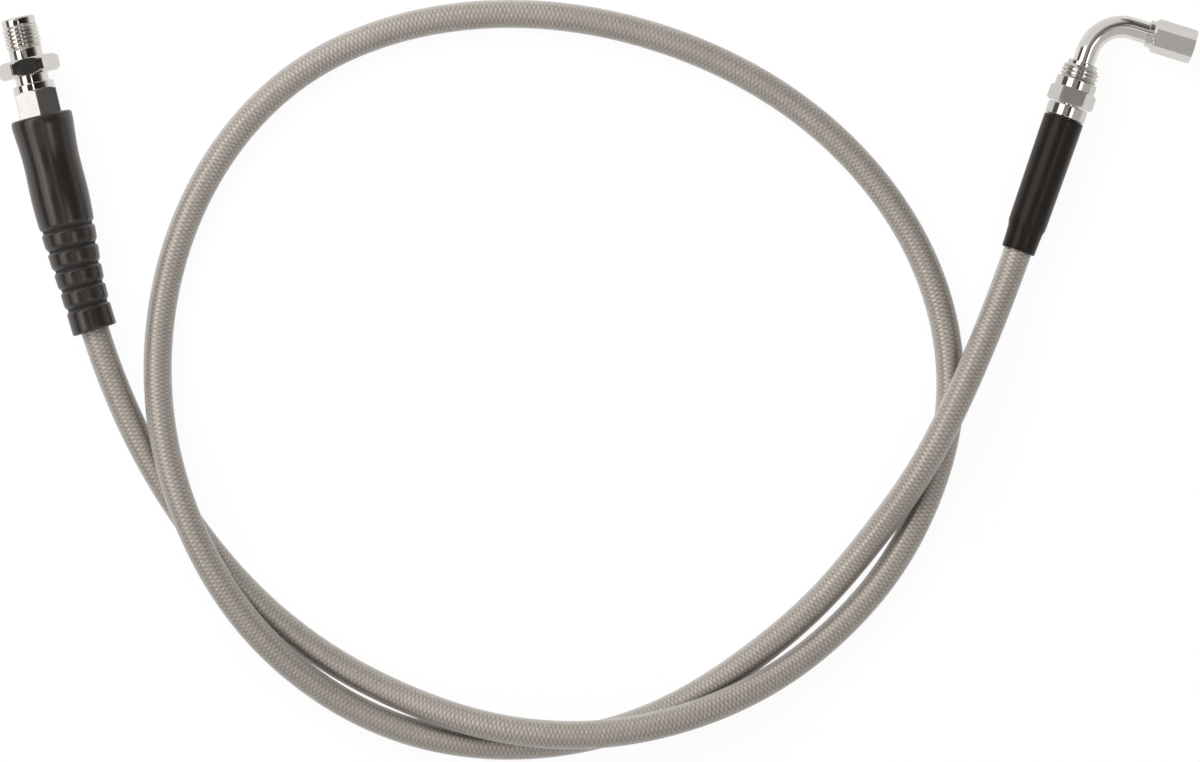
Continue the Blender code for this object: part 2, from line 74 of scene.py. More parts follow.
# Hose route in millimetres, from the left hex round the loop to the right hex
HOSE_ROUTE = (
    (-147.0, 12.7, 8.23), (-140.3, -15.5, 7.43), (-133.5, -41.0, 6.70), (-121.3, -71.3, 4.80),
    (-108.3, -92.7, 3.95), (-89.7, -114.1, 3.90), (-69.0, -129.7, 3.95), (-51.0, -138.7, 5.45),
    (-29.2, -145.6, 10.10), (-2.4, -147.8, 12.25), (24.1, -142.9, 11.00), (48.0, -132.0, 6.15),
    (64.7, -118.7, 3.95), (76.8, -104.4, 3.90), (88.0, -82.5, 3.90), (92.8, -62.2, 3.90),
    (88.5, -28.9, 3.90), (58.7, 13.1, 3.90), (16.4, 36.3, 3.90), (-31.5, 42.6, 3.90),
    (-80.5, 26.2, 3.90), (-109.8, -12.6, 4.00), (-116.9, -46.8, 5.50), (-115.1, -69.3, 9.90),
    (-108.3, -91.8, 12.25), (-93.9, -116.8, 10.50), (-73.9, -135.7, 6.20), (-52.0, -146.8, 3.95),
    (-28.1, -151.1, 3.90), (-4.3, -149.2, 3.90), (18.5, -141.6, 3.90), (39.4, -128.7, 3.90),
    (57.8, -113.1, 4.00), (73.6, -94.4, 6.25), (85.3, -77.3, 11.30), (93.4, -61.9, 12.25),
    (102.6, -41.4, 8.75), (110.9, -20.0, 5.56), (117.1, -2.3, 5.56), (124.4, 18.5, 5.56),
)

# How far from the hexes the braid and the cover begin, and how finely the hose is made
BRAID_START = 2.3 * MM
COVER_START_LEFT = 20.6 * MM
COVER_START_RIGHT = 33.8 * MM
LINE_POINTS = 700
BRAID_LINE_POINTS = 1400
RINGS_PER_CROSSING = 4

# Where the two fittings lie, at the bottom of their hexes
LEFT_PLACE = Vector((-146.97, 12.66, 8.233)) * MM
LEFT_PITCH = math.radians(1.591)
LEFT_HEADING = math.radians(13.3)
RIGHT_PLACE = Vector((124.36, 18.52, 5.555)) * MM
RIGHT_HEADING = math.radians(-19.2)

# What both unions share: the hose stem behind the hex, the hex's edges and the thread
STEM_RADIUS = 1.25 * MM
STEM_SHOULDER = 2.2 * MM
STEM_SHOULDER_LENGTH = 2.0 * MM
STEM_LENGTH = 18.0 * MM
STEM_BORE = 0.75 * MM
STEM_ROUND = 0.1 * MM
HEX_CHAMFER = 0.5 * MM
HEX_TRIM = 0.1 * MM
THREAD_SIDES = 72
THREAD_STEPS = 20
THREAD_WALL = 0.93
THREAD_GAP = 0.1 * MM
THREAD_RUN_OUT = 0.6
FLANK_SLOPE = 2.7
FLANK_DROP = -0.4

# Rubber boot, by distances behind its mouth
BOOT_RIM_ROUND = 0.8 * MM
BOOT_RIM_END = 2.5 * MM
BOOT_FLARE_END = 7.5 * MM
BOOT_FLARE_RISE = 0.2 * MM
BOOT_WAIST = 10.7 * MM
BOOT_BELLY = 20.5 * MM
BOOT_FIRST_GROOVE = 30.5 * MM
BOOT_GROOVES = 5
BOOT_TAIL_LENGTH = 6.7 * MM
BOOT_TAIL_ROUND = 0.6 * MM
BOOT_BEND_LENGTH = 22.4 * MM
BOOT_BEND = math.radians(4)
# A groove's side towards the mouth is wider than the other, and both fall off by this power
GROOVE_FRONT = 0.7
GROOVE_FALL = 2.4
# The inside, as (distance behind the mouth, radius) in millimetres
BOOT_INSIDE = ((24.95, 4.05), (23.6, 5.4), (3.3, 5.4), (3.3, 6.714), (0.0, 6.6))

# Right crimp shell and shrink sleeve, as (radius, height) in millimetres
SHELL_OUTLINE = (
    (3.8, -33.5), (4.35, -33.5), (4.65, -3.5), (5.4, -3.5), (5.4, -0.3), (2.5, -0.3), (2.5, -2.0),
    (3.25, -2.0), (3.25, -33.5),
)
SLEEVE_FRONT = (5.25, -3.8)
SLEEVE_TAIL = (
    (5.06, -33.8), (4.9, -34.4), (4.74, -35.0), (4.66, -36.5), (4.58, -38.5), (4.5, -40.6),
    (4.42, -40.8),
)
SLEEVE_INSIDE = ((4.05, -40.8), (4.3, -34.8), (4.65, -33.8), (4.95, -3.8))
SLEEVE_RIPPLED_FROM = 5.0 * MM

# Turns of the hexes
LEFT_HEX_ROLL = math.radians(6)
NUT_ROLL = math.radians(30)
RIGHT_HEX_ROLL = math.radians(30)
END_PIECE_ROLL = math.radians(40)

# The socket for the bent tube, how deep the tube sits in the pieces at its two ends, and the
# painted shade of the right end: its chrome is a darker copy of the same plating
TUBE_SOCKET_DEPTH = 8.3 * MM
TUBE_DEPTH = 8.0 * MM
TUBE_IN_END_PIECE = 6.7 * MM
RIGHT_PAINTED_SHADE = 0.86

# Levels of the light tent, and the warm tint of its strips
TENT = 0.65
STRIP = 2.7
STRIP_TINT = (1.0, 0.94, 0.9)

# Camera straight above, whose picture is so wide at the line's height
LENS = 181.0
SENSOR = 36.0
VIEW_WIDTH = 0.318
LINE_HEIGHT = 0.005
CAMERA_MIDDLE = (0.0002, -0.0545)

# Half a side of the floor, and how much of its look is plain white to the camera and the metal
FLOOR_HALF = 3.0
FLOOR_GLOW = 0.94


def size(label, words, value):
    """A length that a user may change, given in millimetres."""
    return FloatProperty(
        name=label,
        description=words,
        default=value * MM,
        min=0.0,
        precision=5,
        subtype="DISTANCE",
        unit="LENGTH",
    )


def colour(label, words, value):
    """A colour that a user may change."""
    return FloatVectorProperty(
        name=label, description=words, default=value, min=0.0, max=1.0, size=3, subtype="COLOR"
    )


class HoseSizes(PropertyGroup):
    cover_radius: size("Cover radius", "Outside radius of the clear cover", 3.75)
    cover_wall: size("Cover wall", "Wall of the clear cover", 0.36)
    braid_radius: size("Braid radius", "Radius of the braid between its high and low places", 3.28)
    braid_rise: size("Braid rise", "How far each crossing stands above that radius", 0.08)
    weave_pitch: size("Weave pitch", "Length of one crossing along the hose", 1.17)
    weave_columns: IntProperty(
        name="Weave columns", description="Crossings round the hose", default=14, min=8, max=32
    )
    twist: FloatProperty(
        name="Twist",
        description="Turn of the braid's columns for each metre of hose",
        default=math.radians(420),
        subtype="ANGLE",
    )


class LeftEndSizes(PropertyGroup):
    hex_flats: size("Hex across flats", "Hose hex of the left union", 11.11)
    hex_length: size("Hex length", "Length of the hose hex", 10.0)
    collar_radius: size("Collar radius", "Round collar above the hex", 5.5)
    collar_length: size("Collar length", "Length of the collar", 1.75)
    shank_radius: size("Shank radius", "Plain shank that carries the lock nut", 4.4)
    shank_length: size("Shank length", "Length of the plain shank", 9.35)
    thread_radius: size("Thread radius", "Outside radius of the thread", 4.76)
    thread_pitch: size("Thread pitch", "Pitch of the thread", 1.058)
    thread_depth: size("Thread depth", "Depth of the thread", 0.5)
    thread_length: size("Thread length", "Threaded length", 6.35)
    tip_radius: size("Tip radius", "Plain tip past the thread", 4.5)
    tip_length: size("Tip length", "Length of the tip", 2.2)
    seat_radius: size("Seat radius", "Cone seat in the tip", 2.2)
    seat_depth: size("Seat depth", "Depth of the cone seat", 2.5)
    nut_flats: size("Nut across flats", "Lock nut", 14.29)
    nut_thickness: size("Nut thickness", "Thickness of the lock nut", 4.5)
    nut_standoff: size("Nut standoff", "Gap between the collar and the lock nut", 2.25)
    nut_chamfer: size("Nut chamfer", "Height of the lock nut's chamfers", 0.8)


class BootSizes(PropertyGroup):
    overlap: size("Overlap", "How far the boot's mouth reaches over the hex", 3.0)
    mouth_radius: size("Mouth radius", "Outside radius at the rim", 8.2)
    waist_radius: size("Waist radius", "Outside radius at the waist", 7.55)
    belly_radius: size("Belly radius", "Outside radius at the belly", 7.7)
    rib_radius: size("First rib radius", "Radius at the first grip groove", 7.35)
    end_radius: size("End radius", "Radius at the narrow end", 6.0)
    groove_pitch: size("Groove pitch", "Distance between grip grooves", 5.3)
    groove_depth: size("Groove depth", "Depth of the grip grooves", 0.7)
    groove_width: size("Groove width", "Width of a grip groove at its top", 1.1)


class RightEndSizes(PropertyGroup):
    hex_flats: size("Hex across flats", "Hose hex of the right union", 11.11)
    hex_length: size("Hex length", "Length of the hose hex", 4.4)
    collar_radius: size("Collar radius", "Sealing collar above the hex", 5.5)
    collar_length: size("Collar length", "Length of the collar", 2.5)
    thread_radius: size("Thread radius", "Outside radius of the thread", 5.0)
    thread_pitch: size("Thread pitch", "Pitch of the thread", 1.06)
    thread_depth: size("Thread depth", "Depth of the thread", 0.5)
    thread_length: size("Thread length", "Threaded length", 3.7)
    nose_radius: size("Nose radius", "Nose that the tube comes out of", 4.0)
    nose_length: size("Nose length", "Length of the nose", 1.2)
    tube_radius: size("Tube radius", "Outside radius of the bent tube", 2.95)
    tube_wall: size("Tube wall", "Wall of the bent tube", 1.0)
    bend_radius: size("Bend radius", "Radius of the tube's bend", 9.5)
    straight_length: size("Near straight", "Tube between the nose and its bend", 3.5)
    far_length: size("Far straight", "Tube between its bend and the end piece", 4.3)
    end_flats: size("End piece across flats", "Hexagonal piece on the tube", 7.94)
    end_length: size("End piece length", "Length of that piece", 12.8)
    bend: FloatProperty(
        name="Bend",
        description="Angle of the tube's bend",
        default=math.radians(88),
        subtype="ANGLE",
    )


class Finishes(PropertyGroup):
    chrome: colour("Chrome", "Plated fittings", (0.69, 0.658, 0.625))
    wire: colour("Braid wire", "Stainless wire of the braid", (0.58, 0.528, 0.474))
    # The braid gaps' colour is painted shade between the plaits.
    wire_gap_shade: colour("Braid gaps", "Shade between the plaits", (0.31, 0.278, 0.248))
    cover: colour("Cover", "Tint of the clear cover", (0.36, 0.337, 0.31))
    rubber: colour("Boot rubber", "Moulded rubber of the boot", (0.0165, 0.0115, 0.0093))
    sleeve: colour("Sleeve", "Shrink sleeve", (0.0118, 0.0080, 0.0063))
    liner: colour("Liner", "Plastic liner", (0.82, 0.81, 0.78))
    floor: colour("Floor", "Plain floor", (0.93, 0.93, 0.93))


class ClutchLine(PropertyGroup):
    hose: PointerProperty(type=HoseSizes)
    left: PointerProperty(type=LeftEndSizes)
    boot: PointerProperty(type=BootSizes)
    right: PointerProperty(type=RightEndSizes)
    finishes: PointerProperty(type=Finishes)


# Lines and outlines


def lengths_along(points):
    """The distance of each point from the first, along the line."""
    steps = np.linalg.norm(np.diff(points, axis=0), axis=1)
    return np.concatenate([[0.0], np.cumsum(steps)])


def smooth_line(route, count):
    """Evenly spaced points on the natural cubic spline through the route's points."""
    knots = np.array(route)
    at = lengths_along(knots)
    gap = np.diff(at)
    total = len(knots)
    system = np.eye(total)
    bends = np.zeros((total, knots.shape[1]))
    for i in range(1, total - 1):
        system[i, i - 1 : i + 2] = gap[i - 1], 2 * (gap[i - 1] + gap[i]), gap[i]
        rise = (knots[i + 1] - knots[i]) / gap[i]
        bends[i] = 6 * (rise - (knots[i] - knots[i - 1]) / gap[i - 1])
    bends = np.linalg.solve(system, bends)

    fine = np.linspace(0.0, at[-1], 12 * count)
    i = np.clip(np.searchsorted(at, fine, side="right") - 1, 0, total - 2)
    width = gap[i][:, None]
    past = (fine - at[i])[:, None]
    left = (at[i + 1] - fine)[:, None]
    curve = (bends[i] * left**3 + bends[i + 1] * past**3) / (6 * width)
    curve += (knots[i] / width - bends[i] * width / 6) * left
    curve += (knots[i + 1] / width - bends[i + 1] * width / 6) * past
    return evenly(curve, count)


def evenly(points, count):
    """The same line with its points spread evenly."""
    at = lengths_along(points)
    spread = np.linspace(0.0, at[-1], count)
    return np.stack([np.interp(spread, at, column) for column in points.T], axis=1)


def trimmed(points, start, end):
    """The line without a stretch at its start and one at its end."""
    at = lengths_along(points)
    first, last = start, at[-1] - end
    ends = [[np.interp(x, at, column) for column in points.T] for x in (first, last)]
    kept = points[(at > first + 1e-6) & (at < last - 1e-6)]
    return np.concatenate([[ends[0]], kept, [ends[1]]])


def hose_line(start, end, count):
    """The hose's middle, without the stretches inside its fittings."""
    return trimmed(smooth_line(np.array(HOSE_ROUTE) * MM, count), start, end)


def rounded(outline, reach, steps=4):
    """An outline of (radius, height, flats) with small rounds at all corners but its ends."""
    points = [outline[0]]
    for i in range(1, len(outline) - 1):
        radius, height, flats = outline[i]
        corner = np.array((radius, height))
        before = np.array(outline[i - 1][:2]) - corner
        after = np.array(outline[i + 1][:2]) - corner
        near, far = np.linalg.norm(before), np.linalg.norm(after)
        cut = min(reach, 0.45 * near, 0.45 * far)
        start = corner + before / near * cut
        end = corner + after / far * cut
        for t in np.linspace(0.0, 1.0, steps):
            spot = (1 - t) ** 2 * start + 2 * t * (1 - t) * corner + t**2 * end
            points.append((spot[0], spot[1], flats))
    return points + [outline[-1]]


def plain(*stations):
    """Stations of (radius, height) as round ones."""
    return [(radius, height, 0.0) for radius, height in stations]


def plain_mm(*stations):
    """Round stations of (radius, height) in millimetres."""
    return plain(*((radius * MM, height * MM) for radius, height in stations))


def hex_stations(flats, bottom, top, chamfer, trim, steps=7):
    """A hexagon turned off at 30 degrees at both ends, up from its bottom."""
    corner = flats / math.sqrt(3) - trim
    lift = np.linspace(0.0, 1.0, steps)
    limits = flats / 2 + (corner - flats / 2) * lift
    low = [(limit, bottom + chamfer * t, flats) for limit, t in zip(limits, lift)]
    high = [(limit, top - chamfer * t, flats) for limit, t in zip(limits, lift)]
    return low + high[::-1]


# Meshes


def laid(place, pitch, heading):
    """Lays an upright fitting down, with its tip raised by the pitch."""
    turn = Euler((pitch - math.pi / 2, 0.0, heading)).to_matrix().to_4x4()
    return Matrix.Translation(place) @ turn


LEFT_END = laid(LEFT_PLACE, LEFT_PITCH, LEFT_HEADING)
RIGHT_END = laid(RIGHT_PLACE, 0.0, RIGHT_HEADING)


def upright(height):
    return Matrix.Translation((0.0, 0.0, height))


def hex_reach(angle, flats):
    """How far a hexagon reaches from its middle in one direction."""
    off_flat = (angle + math.pi / 6) % (math.pi / 3) - math.pi / 6
    return flats / 2 / np.cos(off_flat)


def skin(name, rings):
    """A mesh over rings of points. The last ring joins the first."""
    rings = np.asarray(rings)
    count, sides = rings.shape[:2]
    near = np.arange(count * sides).reshape(count, sides)
    far = np.roll(near, -1, 0)
    quads = np.stack([near, np.roll(near, -1, 1), np.roll(far, -1, 1), far], axis=-1)
    mesh = bpy.data.meshes.new(name)
    mesh.from_pydata(rings.reshape(-1, 3).tolist(), [], quads.reshape(-1, 4).tolist())
    return mesh


def ring_angles(has_flats):
    """Angles spread evenly. Where there are flats, each corner has a close pair beside it."""
    angle = np.linspace(0.0, math.tau, SIDES, endpoint=False)
    if has_flats:
        off_corner = angle % (math.pi / 3) - math.pi / 6
        beside = np.isclose(np.abs(off_corner), math.tau / SIDES)
        angle = np.where(beside, angle - CORNER_PULL * off_corner, angle)
    return angle


def turned(name, outline, lay_down, roll=0.0, spine=upright, shape=None):
    """A turned shell on the fitting's axis. The shape may change a ring's reach."""
    angle = ring_angles(any(flats for _, _, flats in outline))
    rings = []
    for radius, height, flats in outline:
        reach = np.full(SIDES, radius)
        if flats:
            reach = np.minimum(reach, hex_reach(angle, flats))
        if shape:
            reach = shape(reach, angle, height)
        ring = np.zeros((SIDES, 4))
        ring[:, 0] = reach * np.cos(angle + roll)
        ring[:, 1] = reach * np.sin(angle + roll)
        ring[:, 3] = 1.0
        place = np.array(lay_down @ spine(height))
        rings.append((ring @ place.T)[:, :3])
    return skin(name, rings)


def swept(name, line, outside, inside, sides):
    """A hollow tube along a line, with the wall closed at both ends."""
    ahead = np.gradient(line, axis=0)
    ahead /= np.linalg.norm(ahead, axis=1)[:, None]
    across = np.cross(ahead, (0.0, 0.0, 1.0))
    across /= np.linalg.norm(across, axis=1)[:, None]
    over = np.cross(across, ahead)
    angle = np.linspace(0.0, math.tau, sides, endpoint=False)
    spoke = across[:, None] * np.cos(angle)[:, None] + over[:, None] * np.sin(angle)[:, None]
    outer = line[:, None] + spoke * outside
    inner = line[:, None] + spoke * inside
    return skin(name, np.concatenate([outer, inner[::-1]]))


@contextmanager
def editing(mesh):
    """Opens a mesh for changes, and writes it back with its faces pointing outwards."""
    work = bmesh.new()
    work.from_mesh(mesh)
    yield work
    bmesh.ops.recalc_face_normals(work, faces=work.faces)
    work.to_mesh(mesh)
    work.free()


def open_edges(work):
    return [edge for edge in work.edges if edge.is_boundary]


def rightly_faced(mesh, sharp):
    """Merges doubles, points the faces outwards and shades smooth up to an angle."""
    with editing(mesh) as work:
        bmesh.ops.remove_doubles(work, verts=work.verts, dist=1e-7)
    mesh.shade_smooth()
    mesh.set_sharp_from_angle(angle=math.radians(sharp))


def close_ends(mesh):
    """Fills the open rings at the two ends of a tube."""
    with editing(mesh) as work:
        bmesh.ops.edgeloop_fill(work, edges=open_edges(work))


def walled(mesh, share):
    """Gives an open tube on +Z an inner wall, at a share of its ends' radius."""
    with editing(mesh) as work:
        made = bmesh.ops.extrude_edge_only(work, edges=open_edges(work))["geom"]
        for part in made:
            if isinstance(part, bmesh.types.BMVert):
                part.co.x *= share
                part.co.y *= share
        bmesh.ops.bridge_loops(work, edges=open_edges(work))


def joined(name, meshes):
    """Several meshes as one."""
    whole = bmesh.new()
    for mesh in meshes:
        whole.from_mesh(mesh)
    made = bpy.data.meshes.new(name)
    whole.to_mesh(made)
    whole.free()
    for mesh in meshes:
        bpy.data.meshes.remove(mesh)
    return made


def coat(mesh, finish):
    """Puts one finish on a whole mesh."""
    mesh.materials.clear()
    mesh.materials.append(finish)


def placed(name, data):
    """A new object in the scene."""
    made = bpy.data.objects.new(name, data)
    bpy.context.scene.collection.objects.link(made)
    return made


def piece(name, mesh, finish, slot, *nodes, sharp=None):
    """A finished piece of the line, which stands for the CAD nodes named."""
    if sharp:
        rightly_faced(mesh, sharp)
    coat(mesh, finish)
    made = placed(name, mesh)
    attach(made, "root")
    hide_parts(*nodes)
    return made


# Geometry Nodes


def node_tree(name, **sockets):
    """An empty Geometry Nodes tree with named inputs."""
    tree = bpy.data.node_groups.new(name, "GeometryNodeTree")
    tree.interface.new_socket("Geometry", in_out="INPUT", socket_type="NodeSocketGeometry")
    for label, kind in sockets.items():
        tree.interface.new_socket(label, in_out="INPUT", socket_type="NodeSocket" + kind)
    tree.interface.new_socket("Geometry", in_out="OUTPUT", socket_type="NodeSocketGeometry")
    return tree


def feed(tree, node, **inputs):
    """Sets a node's inputs. Each is a value, an output, or a node for its first output."""
    for label, value in inputs.items():
        key = int(label[1:]) if label[0] == "i" and label[1:].isdigit() else label.replace("_", " ")
        socket = node.inputs[key]
        if isinstance(value, bpy.types.Node):
            value = value.outputs[0]
        if isinstance(value, bpy.types.NodeSocket):
            tree.links.new(value, socket)
        else:
            socket.default_value = value


def add(tree, kind, settings=None, **inputs):
    """A node with its settings and inputs."""
    node = tree.nodes.new(kind)
    for label, value in (settings or {}).items():
        setattr(node, label, value)
    feed(tree, node, **inputs)
    return node


def sums(tree, family="ShaderNodeMath"):
    """A short way to add arithmetic nodes."""

    def sum_of(operation, *values):
        inputs = {f"i{k}": value for k, value in enumerate(values)}
        return add(tree, family, {"operation": operation}, **inputs)

    return sum_of


def close_tree(tree, geometry, material):
    """Ends a tree with smooth, real geometry in one material."""
    merged = add(tree, "GeometryNodeMergeByDistance", Geometry=geometry, Distance=1e-7)
    smooth = add(tree, "GeometryNodeSetShadeSmooth", Geometry=merged)
    real = add(tree, "GeometryNodeRealizeInstances", Geometry=smooth)
    painted = add(tree, "GeometryNodeSetMaterial", Geometry=real, Material=material)
    add(tree, "NodeGroupOutput", i0=painted)


def captured(tree, geometry, **fields):
    """Keeps fields of (kind, value) with the geometry, which is the first output."""
    node = tree.nodes.new("GeometryNodeCaptureAttribute")
    for label, (kind, value) in fields.items():
        node.capture_items.new(kind, label)
        feed(tree, node, **{label: value})
    feed(tree, node, Geometry=geometry)
    return node.outputs


def polar(tree, radius, angle, height=0.0):
    """A place from its radius, angle and height."""
    does = sums(tree)
    x = does("MULTIPLY", radius, does("COSINE", angle))
    y = does("MULTIPLY", radius, does("SINE", angle))
    return add(tree, "ShaderNodeCombineXYZ", X=x, Y=y, Z=height)


def grown(name, tree, seed=None, **values):
    """The mesh that a node tree makes, as a plain mesh."""
    host = placed(name, seed or bpy.data.meshes.new(name))
    modifier = host.modifiers.new(name, "NODES")
    modifier.node_group = tree
    for item in tree.interface.items_tree:
        if item.in_out == "INPUT" and item.name in values:
            modifier[item.identifier] = values[item.name]
    bpy.context.view_layer.update()
    ready = host.evaluated_get(bpy.context.evaluated_depsgraph_get())
    mesh = bpy.data.meshes.new_from_object(ready)
    host.modifiers.clear()
    bpy.data.objects.remove(host)
    if not mesh.polygons:
        raise RuntimeError(f"{name}: its node tree made nothing")
    return mesh


def thread_tree():
    """A screw thread on +Z from 0: a grid rolled up, whose radius follows the helix."""
    tree = node_tree(
        "screw_thread",
        Radius="Float", Depth="Float", Pitch="Float", Length="Float", Around="Int", Along="Int",
        Material="Material",
    )
    given = tree.nodes.new("NodeGroupInput").outputs
    does = sums(tree)
    points = {"Vertices_X": given["Around"], "Vertices_Y": given["Along"]}
    grid = add(tree, "GeometryNodeMeshGrid", Size_X=1.0, Size_Y=1.0, **points)
    position = tree.nodes.new("GeometryNodeInputPosition")
    spot = add(tree, "ShaderNodeSeparateXYZ", i0=position)
    around = does("ADD", spot.outputs["X"], 0.5)
    height = does("MULTIPLY", does("ADD", spot.outputs["Y"], 0.5), given["Length"])
    turns = does("SUBTRACT", does("DIVIDE", height, given["Pitch"]), around)
    phase = does("FRACT", does("ADD", turns, 10.0))
    off_crest = does("ABSOLUTE", does("SUBTRACT", does("MULTIPLY", phase, 2.0), 1.0))
    flank = does("MULTIPLY_ADD", does("SUBTRACT", 1.0, off_crest), FLANK_SLOPE, FLANK_DROP)
    flat_topped = add(tree, "ShaderNodeClamp", Value=flank)
    to_end = does("MINIMUM", height, does("SUBTRACT", given["Length"], height))
    fade = does("DIVIDE", to_end, does("MULTIPLY", given["Pitch"], THREAD_RUN_OUT))
    run_out = add(tree, "ShaderNodeClamp", Value=fade)
    below = does("SUBTRACT", 1.0, does("MULTIPLY", flat_topped, run_out))
    radius = does("SUBTRACT", given["Radius"], does("MULTIPLY", given["Depth"], below))
    place = polar(tree, radius, does("MULTIPLY", around, math.tau), height)
    rolled = add(tree, "GeometryNodeSetPosition", Geometry=grid, Position=place)
    close_tree(tree, rolled, given["Material"])
    return tree


def screw_thread(union, start, lay_down, finish):
    """A union's thread, from one height of the fitting, where the fitting lies."""
    mesh = grown(
        "screw_thread",
        bpy.data.node_groups.get("screw_thread") or thread_tree(),
        Radius=union.thread_radius, Depth=union.thread_depth, Pitch=union.thread_pitch,
        Length=union.thread_length, Around=THREAD_SIDES + 1,
        Along=1 + THREAD_STEPS * round(union.thread_length / union.thread_pitch), Material=finish,
    )
    walled(mesh, THREAD_WALL)
    mesh.transform(lay_down @ upright(start))
    return mesh


def braid_tree():
    """The wire braid: a tube along the hose whose crossings stand up in staggered columns."""
    tree = node_tree(
        "woven_braid",
        Radius="Float", Rise="Float", Pitch="Float", Columns="Int", Twist="Float",
        Material="Material",
    )
    given = tree.nodes.new("NodeGroupInput").outputs
    does = sums(tree)
    turns = sums(tree, "ShaderNodeVectorMath")
    line = add(tree, "GeometryNodeMeshToCurve", Mesh=given["Geometry"])
    step = does("DIVIDE", given["Pitch"], RINGS_PER_CROSSING)
    by_length = {"mode": "LENGTH"}
    rings = add(tree, "GeometryNodeResampleCurve", by_length, Curve=line, Length=step)
    level = add(tree, "GeometryNodeSetCurveNormal", {"mode": "Z_UP"}, Curve=rings)
    reach = add(tree, "GeometryNodeSplineParameter").outputs["Length"]
    tilt = does("MULTIPLY", reach, given["Twist"])
    tilted = add(tree, "GeometryNodeSetCurveTilt", Curve=level, Tilt=tilt)

    index = tree.nodes.new("GeometryNodeInputIndex")
    position = tree.nodes.new("GeometryNodeInputPosition")
    marked = captured(tree, tilted, Ring=("FLOAT", index), Middle=("VECTOR", position))

    open_ring = add(tree, "GeometryNodeCurvePrimitiveLine")
    points = does("ADD", given["Columns"], 1.0)
    spaced = add(tree, "GeometryNodeResampleCurve", Curve=open_ring, Count=points)
    angle = does("MULTIPLY", does("DIVIDE", index, given["Columns"]), math.tau)
    round_place = polar(tree, given["Radius"], angle)
    profile = add(tree, "GeometryNodeSetPosition", Geometry=spaced, Position=round_place)
    counted = captured(tree, profile, Column=("FLOAT", index))

    tube = add(
        tree, "GeometryNodeCurveToMesh", Curve=marked["Geometry"], Profile_Curve=counted["Geometry"]
    )
    ring = does("DIVIDE", marked["Ring"], RINGS_PER_CROSSING)
    column = does("DIVIDE", counted["Column"], 2.0)
    wave = does("COSINE", does("MULTIPLY", does("ADD", ring, column), math.tau))
    out = turns("NORMALIZE", turns("SUBTRACT", position, marked["Middle"]))
    rise = does("MULTIPLY", wave, given["Rise"])
    lift = add(tree, "ShaderNodeVectorMath", {"operation": "SCALE"}, i0=out, Scale=rise)
    woven = add(tree, "GeometryNodeSetPosition", Geometry=tube, Offset=lift)
    map_place = add(tree, "ShaderNodeCombineXYZ", X=ring, Y=column)
    corners = {"data_type": "FLOAT2", "domain": "CORNER"}
    to_map = {"Geometry": woven, "Name": "weave", "Value": map_place}
    mapped = add(tree, "GeometryNodeStoreNamedAttribute", corners, **to_map)
    close_tree(tree, mapped, given["Material"])
    return tree


# Materials


def material(name):
    """A new material, its tree and its Principled shader."""
    made = bpy.data.materials.new(name)
    made.use_nodes = True
    return made, made.node_tree, made.node_tree.nodes["Principled BSDF"]


def object_place(tree):
    return tree.nodes.new("ShaderNodeTexCoord").outputs["Object"]


def grain(tree, spot, scale, detail):
    """A noise value at so many grains a metre."""
    return add(tree, "ShaderNodeTexNoise", Vector=spot, Scale=scale, Detail=detail)


def ranged(tree, value, low, high, to_low, to_high):
    ends = {"From_Min": low, "From_Max": high, "To_Min": to_low, "To_Max": to_high}
    return add(tree, "ShaderNodeMapRange", Value=value, **ends)


def shades(tree, value, *stops):
    """A colour ramp of (position, colour) stops."""
    ramp = add(tree, "ShaderNodeValToRGB", Fac=value)
    marks = ramp.color_ramp.elements
    while len(marks) < len(stops):
        marks.new(1.0)
    for mark, (position, shade) in zip(marks, stops):
        mark.position = position
        mark.color = (*shade, 1.0)
    return ramp


def times(shade, factor):
    return tuple(min(1.0, part * factor) for part in shade)


def mottled(tree, value, shade, dark, light):
    """A colour that drifts between two tones of a shade."""
    return shades(tree, value, (0.3, times(shade, dark)), (0.7, times(shade, light)))


def bump(tree, height, strength, distance):
    return add(tree, "ShaderNodeBump", Height=height, Strength=strength, Distance=distance)


def mixed(tree, factor, first, second):
    """A blend of two colours."""
    blend = {"data_type": "RGBA"}
    return add(tree, "ShaderNodeMix", blend, Factor=factor, i6=first, i7=second).outputs[2]


def chosen(tree, factor, first, second):
    """A blend of two values."""
    blend = {"data_type": "FLOAT"}
    return add(tree, "ShaderNodeMix", blend, Factor=factor, i2=first, i3=second)


def chrome(name, shade, lay_down, tone=1.0):
    """Plated steel: nearly a mirror, with turning marks round its axis and a soft haze.

    A tone below 1 makes a darker copy of the plating for a piece, which is painted shade; above 1,
    a brighter copy, which is painted light.
    """
    made, tree, shader = material(name)
    spot = add(
        tree,
        "ShaderNodeMapping",
        {"vector_type": "TEXTURE"},
        Vector=object_place(tree),
        Location=lay_down.translation,
        Rotation=lay_down.to_euler(),
    )
    haze = grain(tree, spot, 420.0, 4.0)
    along = add(tree, "ShaderNodeMapping", Vector=spot, Scale=(0.03, 0.03, 1.0))
    marks = grain(tree, along, 9000.0, 2.0)
    feed(
        tree,
        shader,
        Base_Color=mottled(tree, haze, shade, 0.93 * tone, tone),
        Roughness=ranged(tree, haze, 0.3, 0.75, 0.035, 0.08),
        Metallic=1.0,
        Normal=bump(tree, marks, 0.05, 0.00001),
    )
    return made


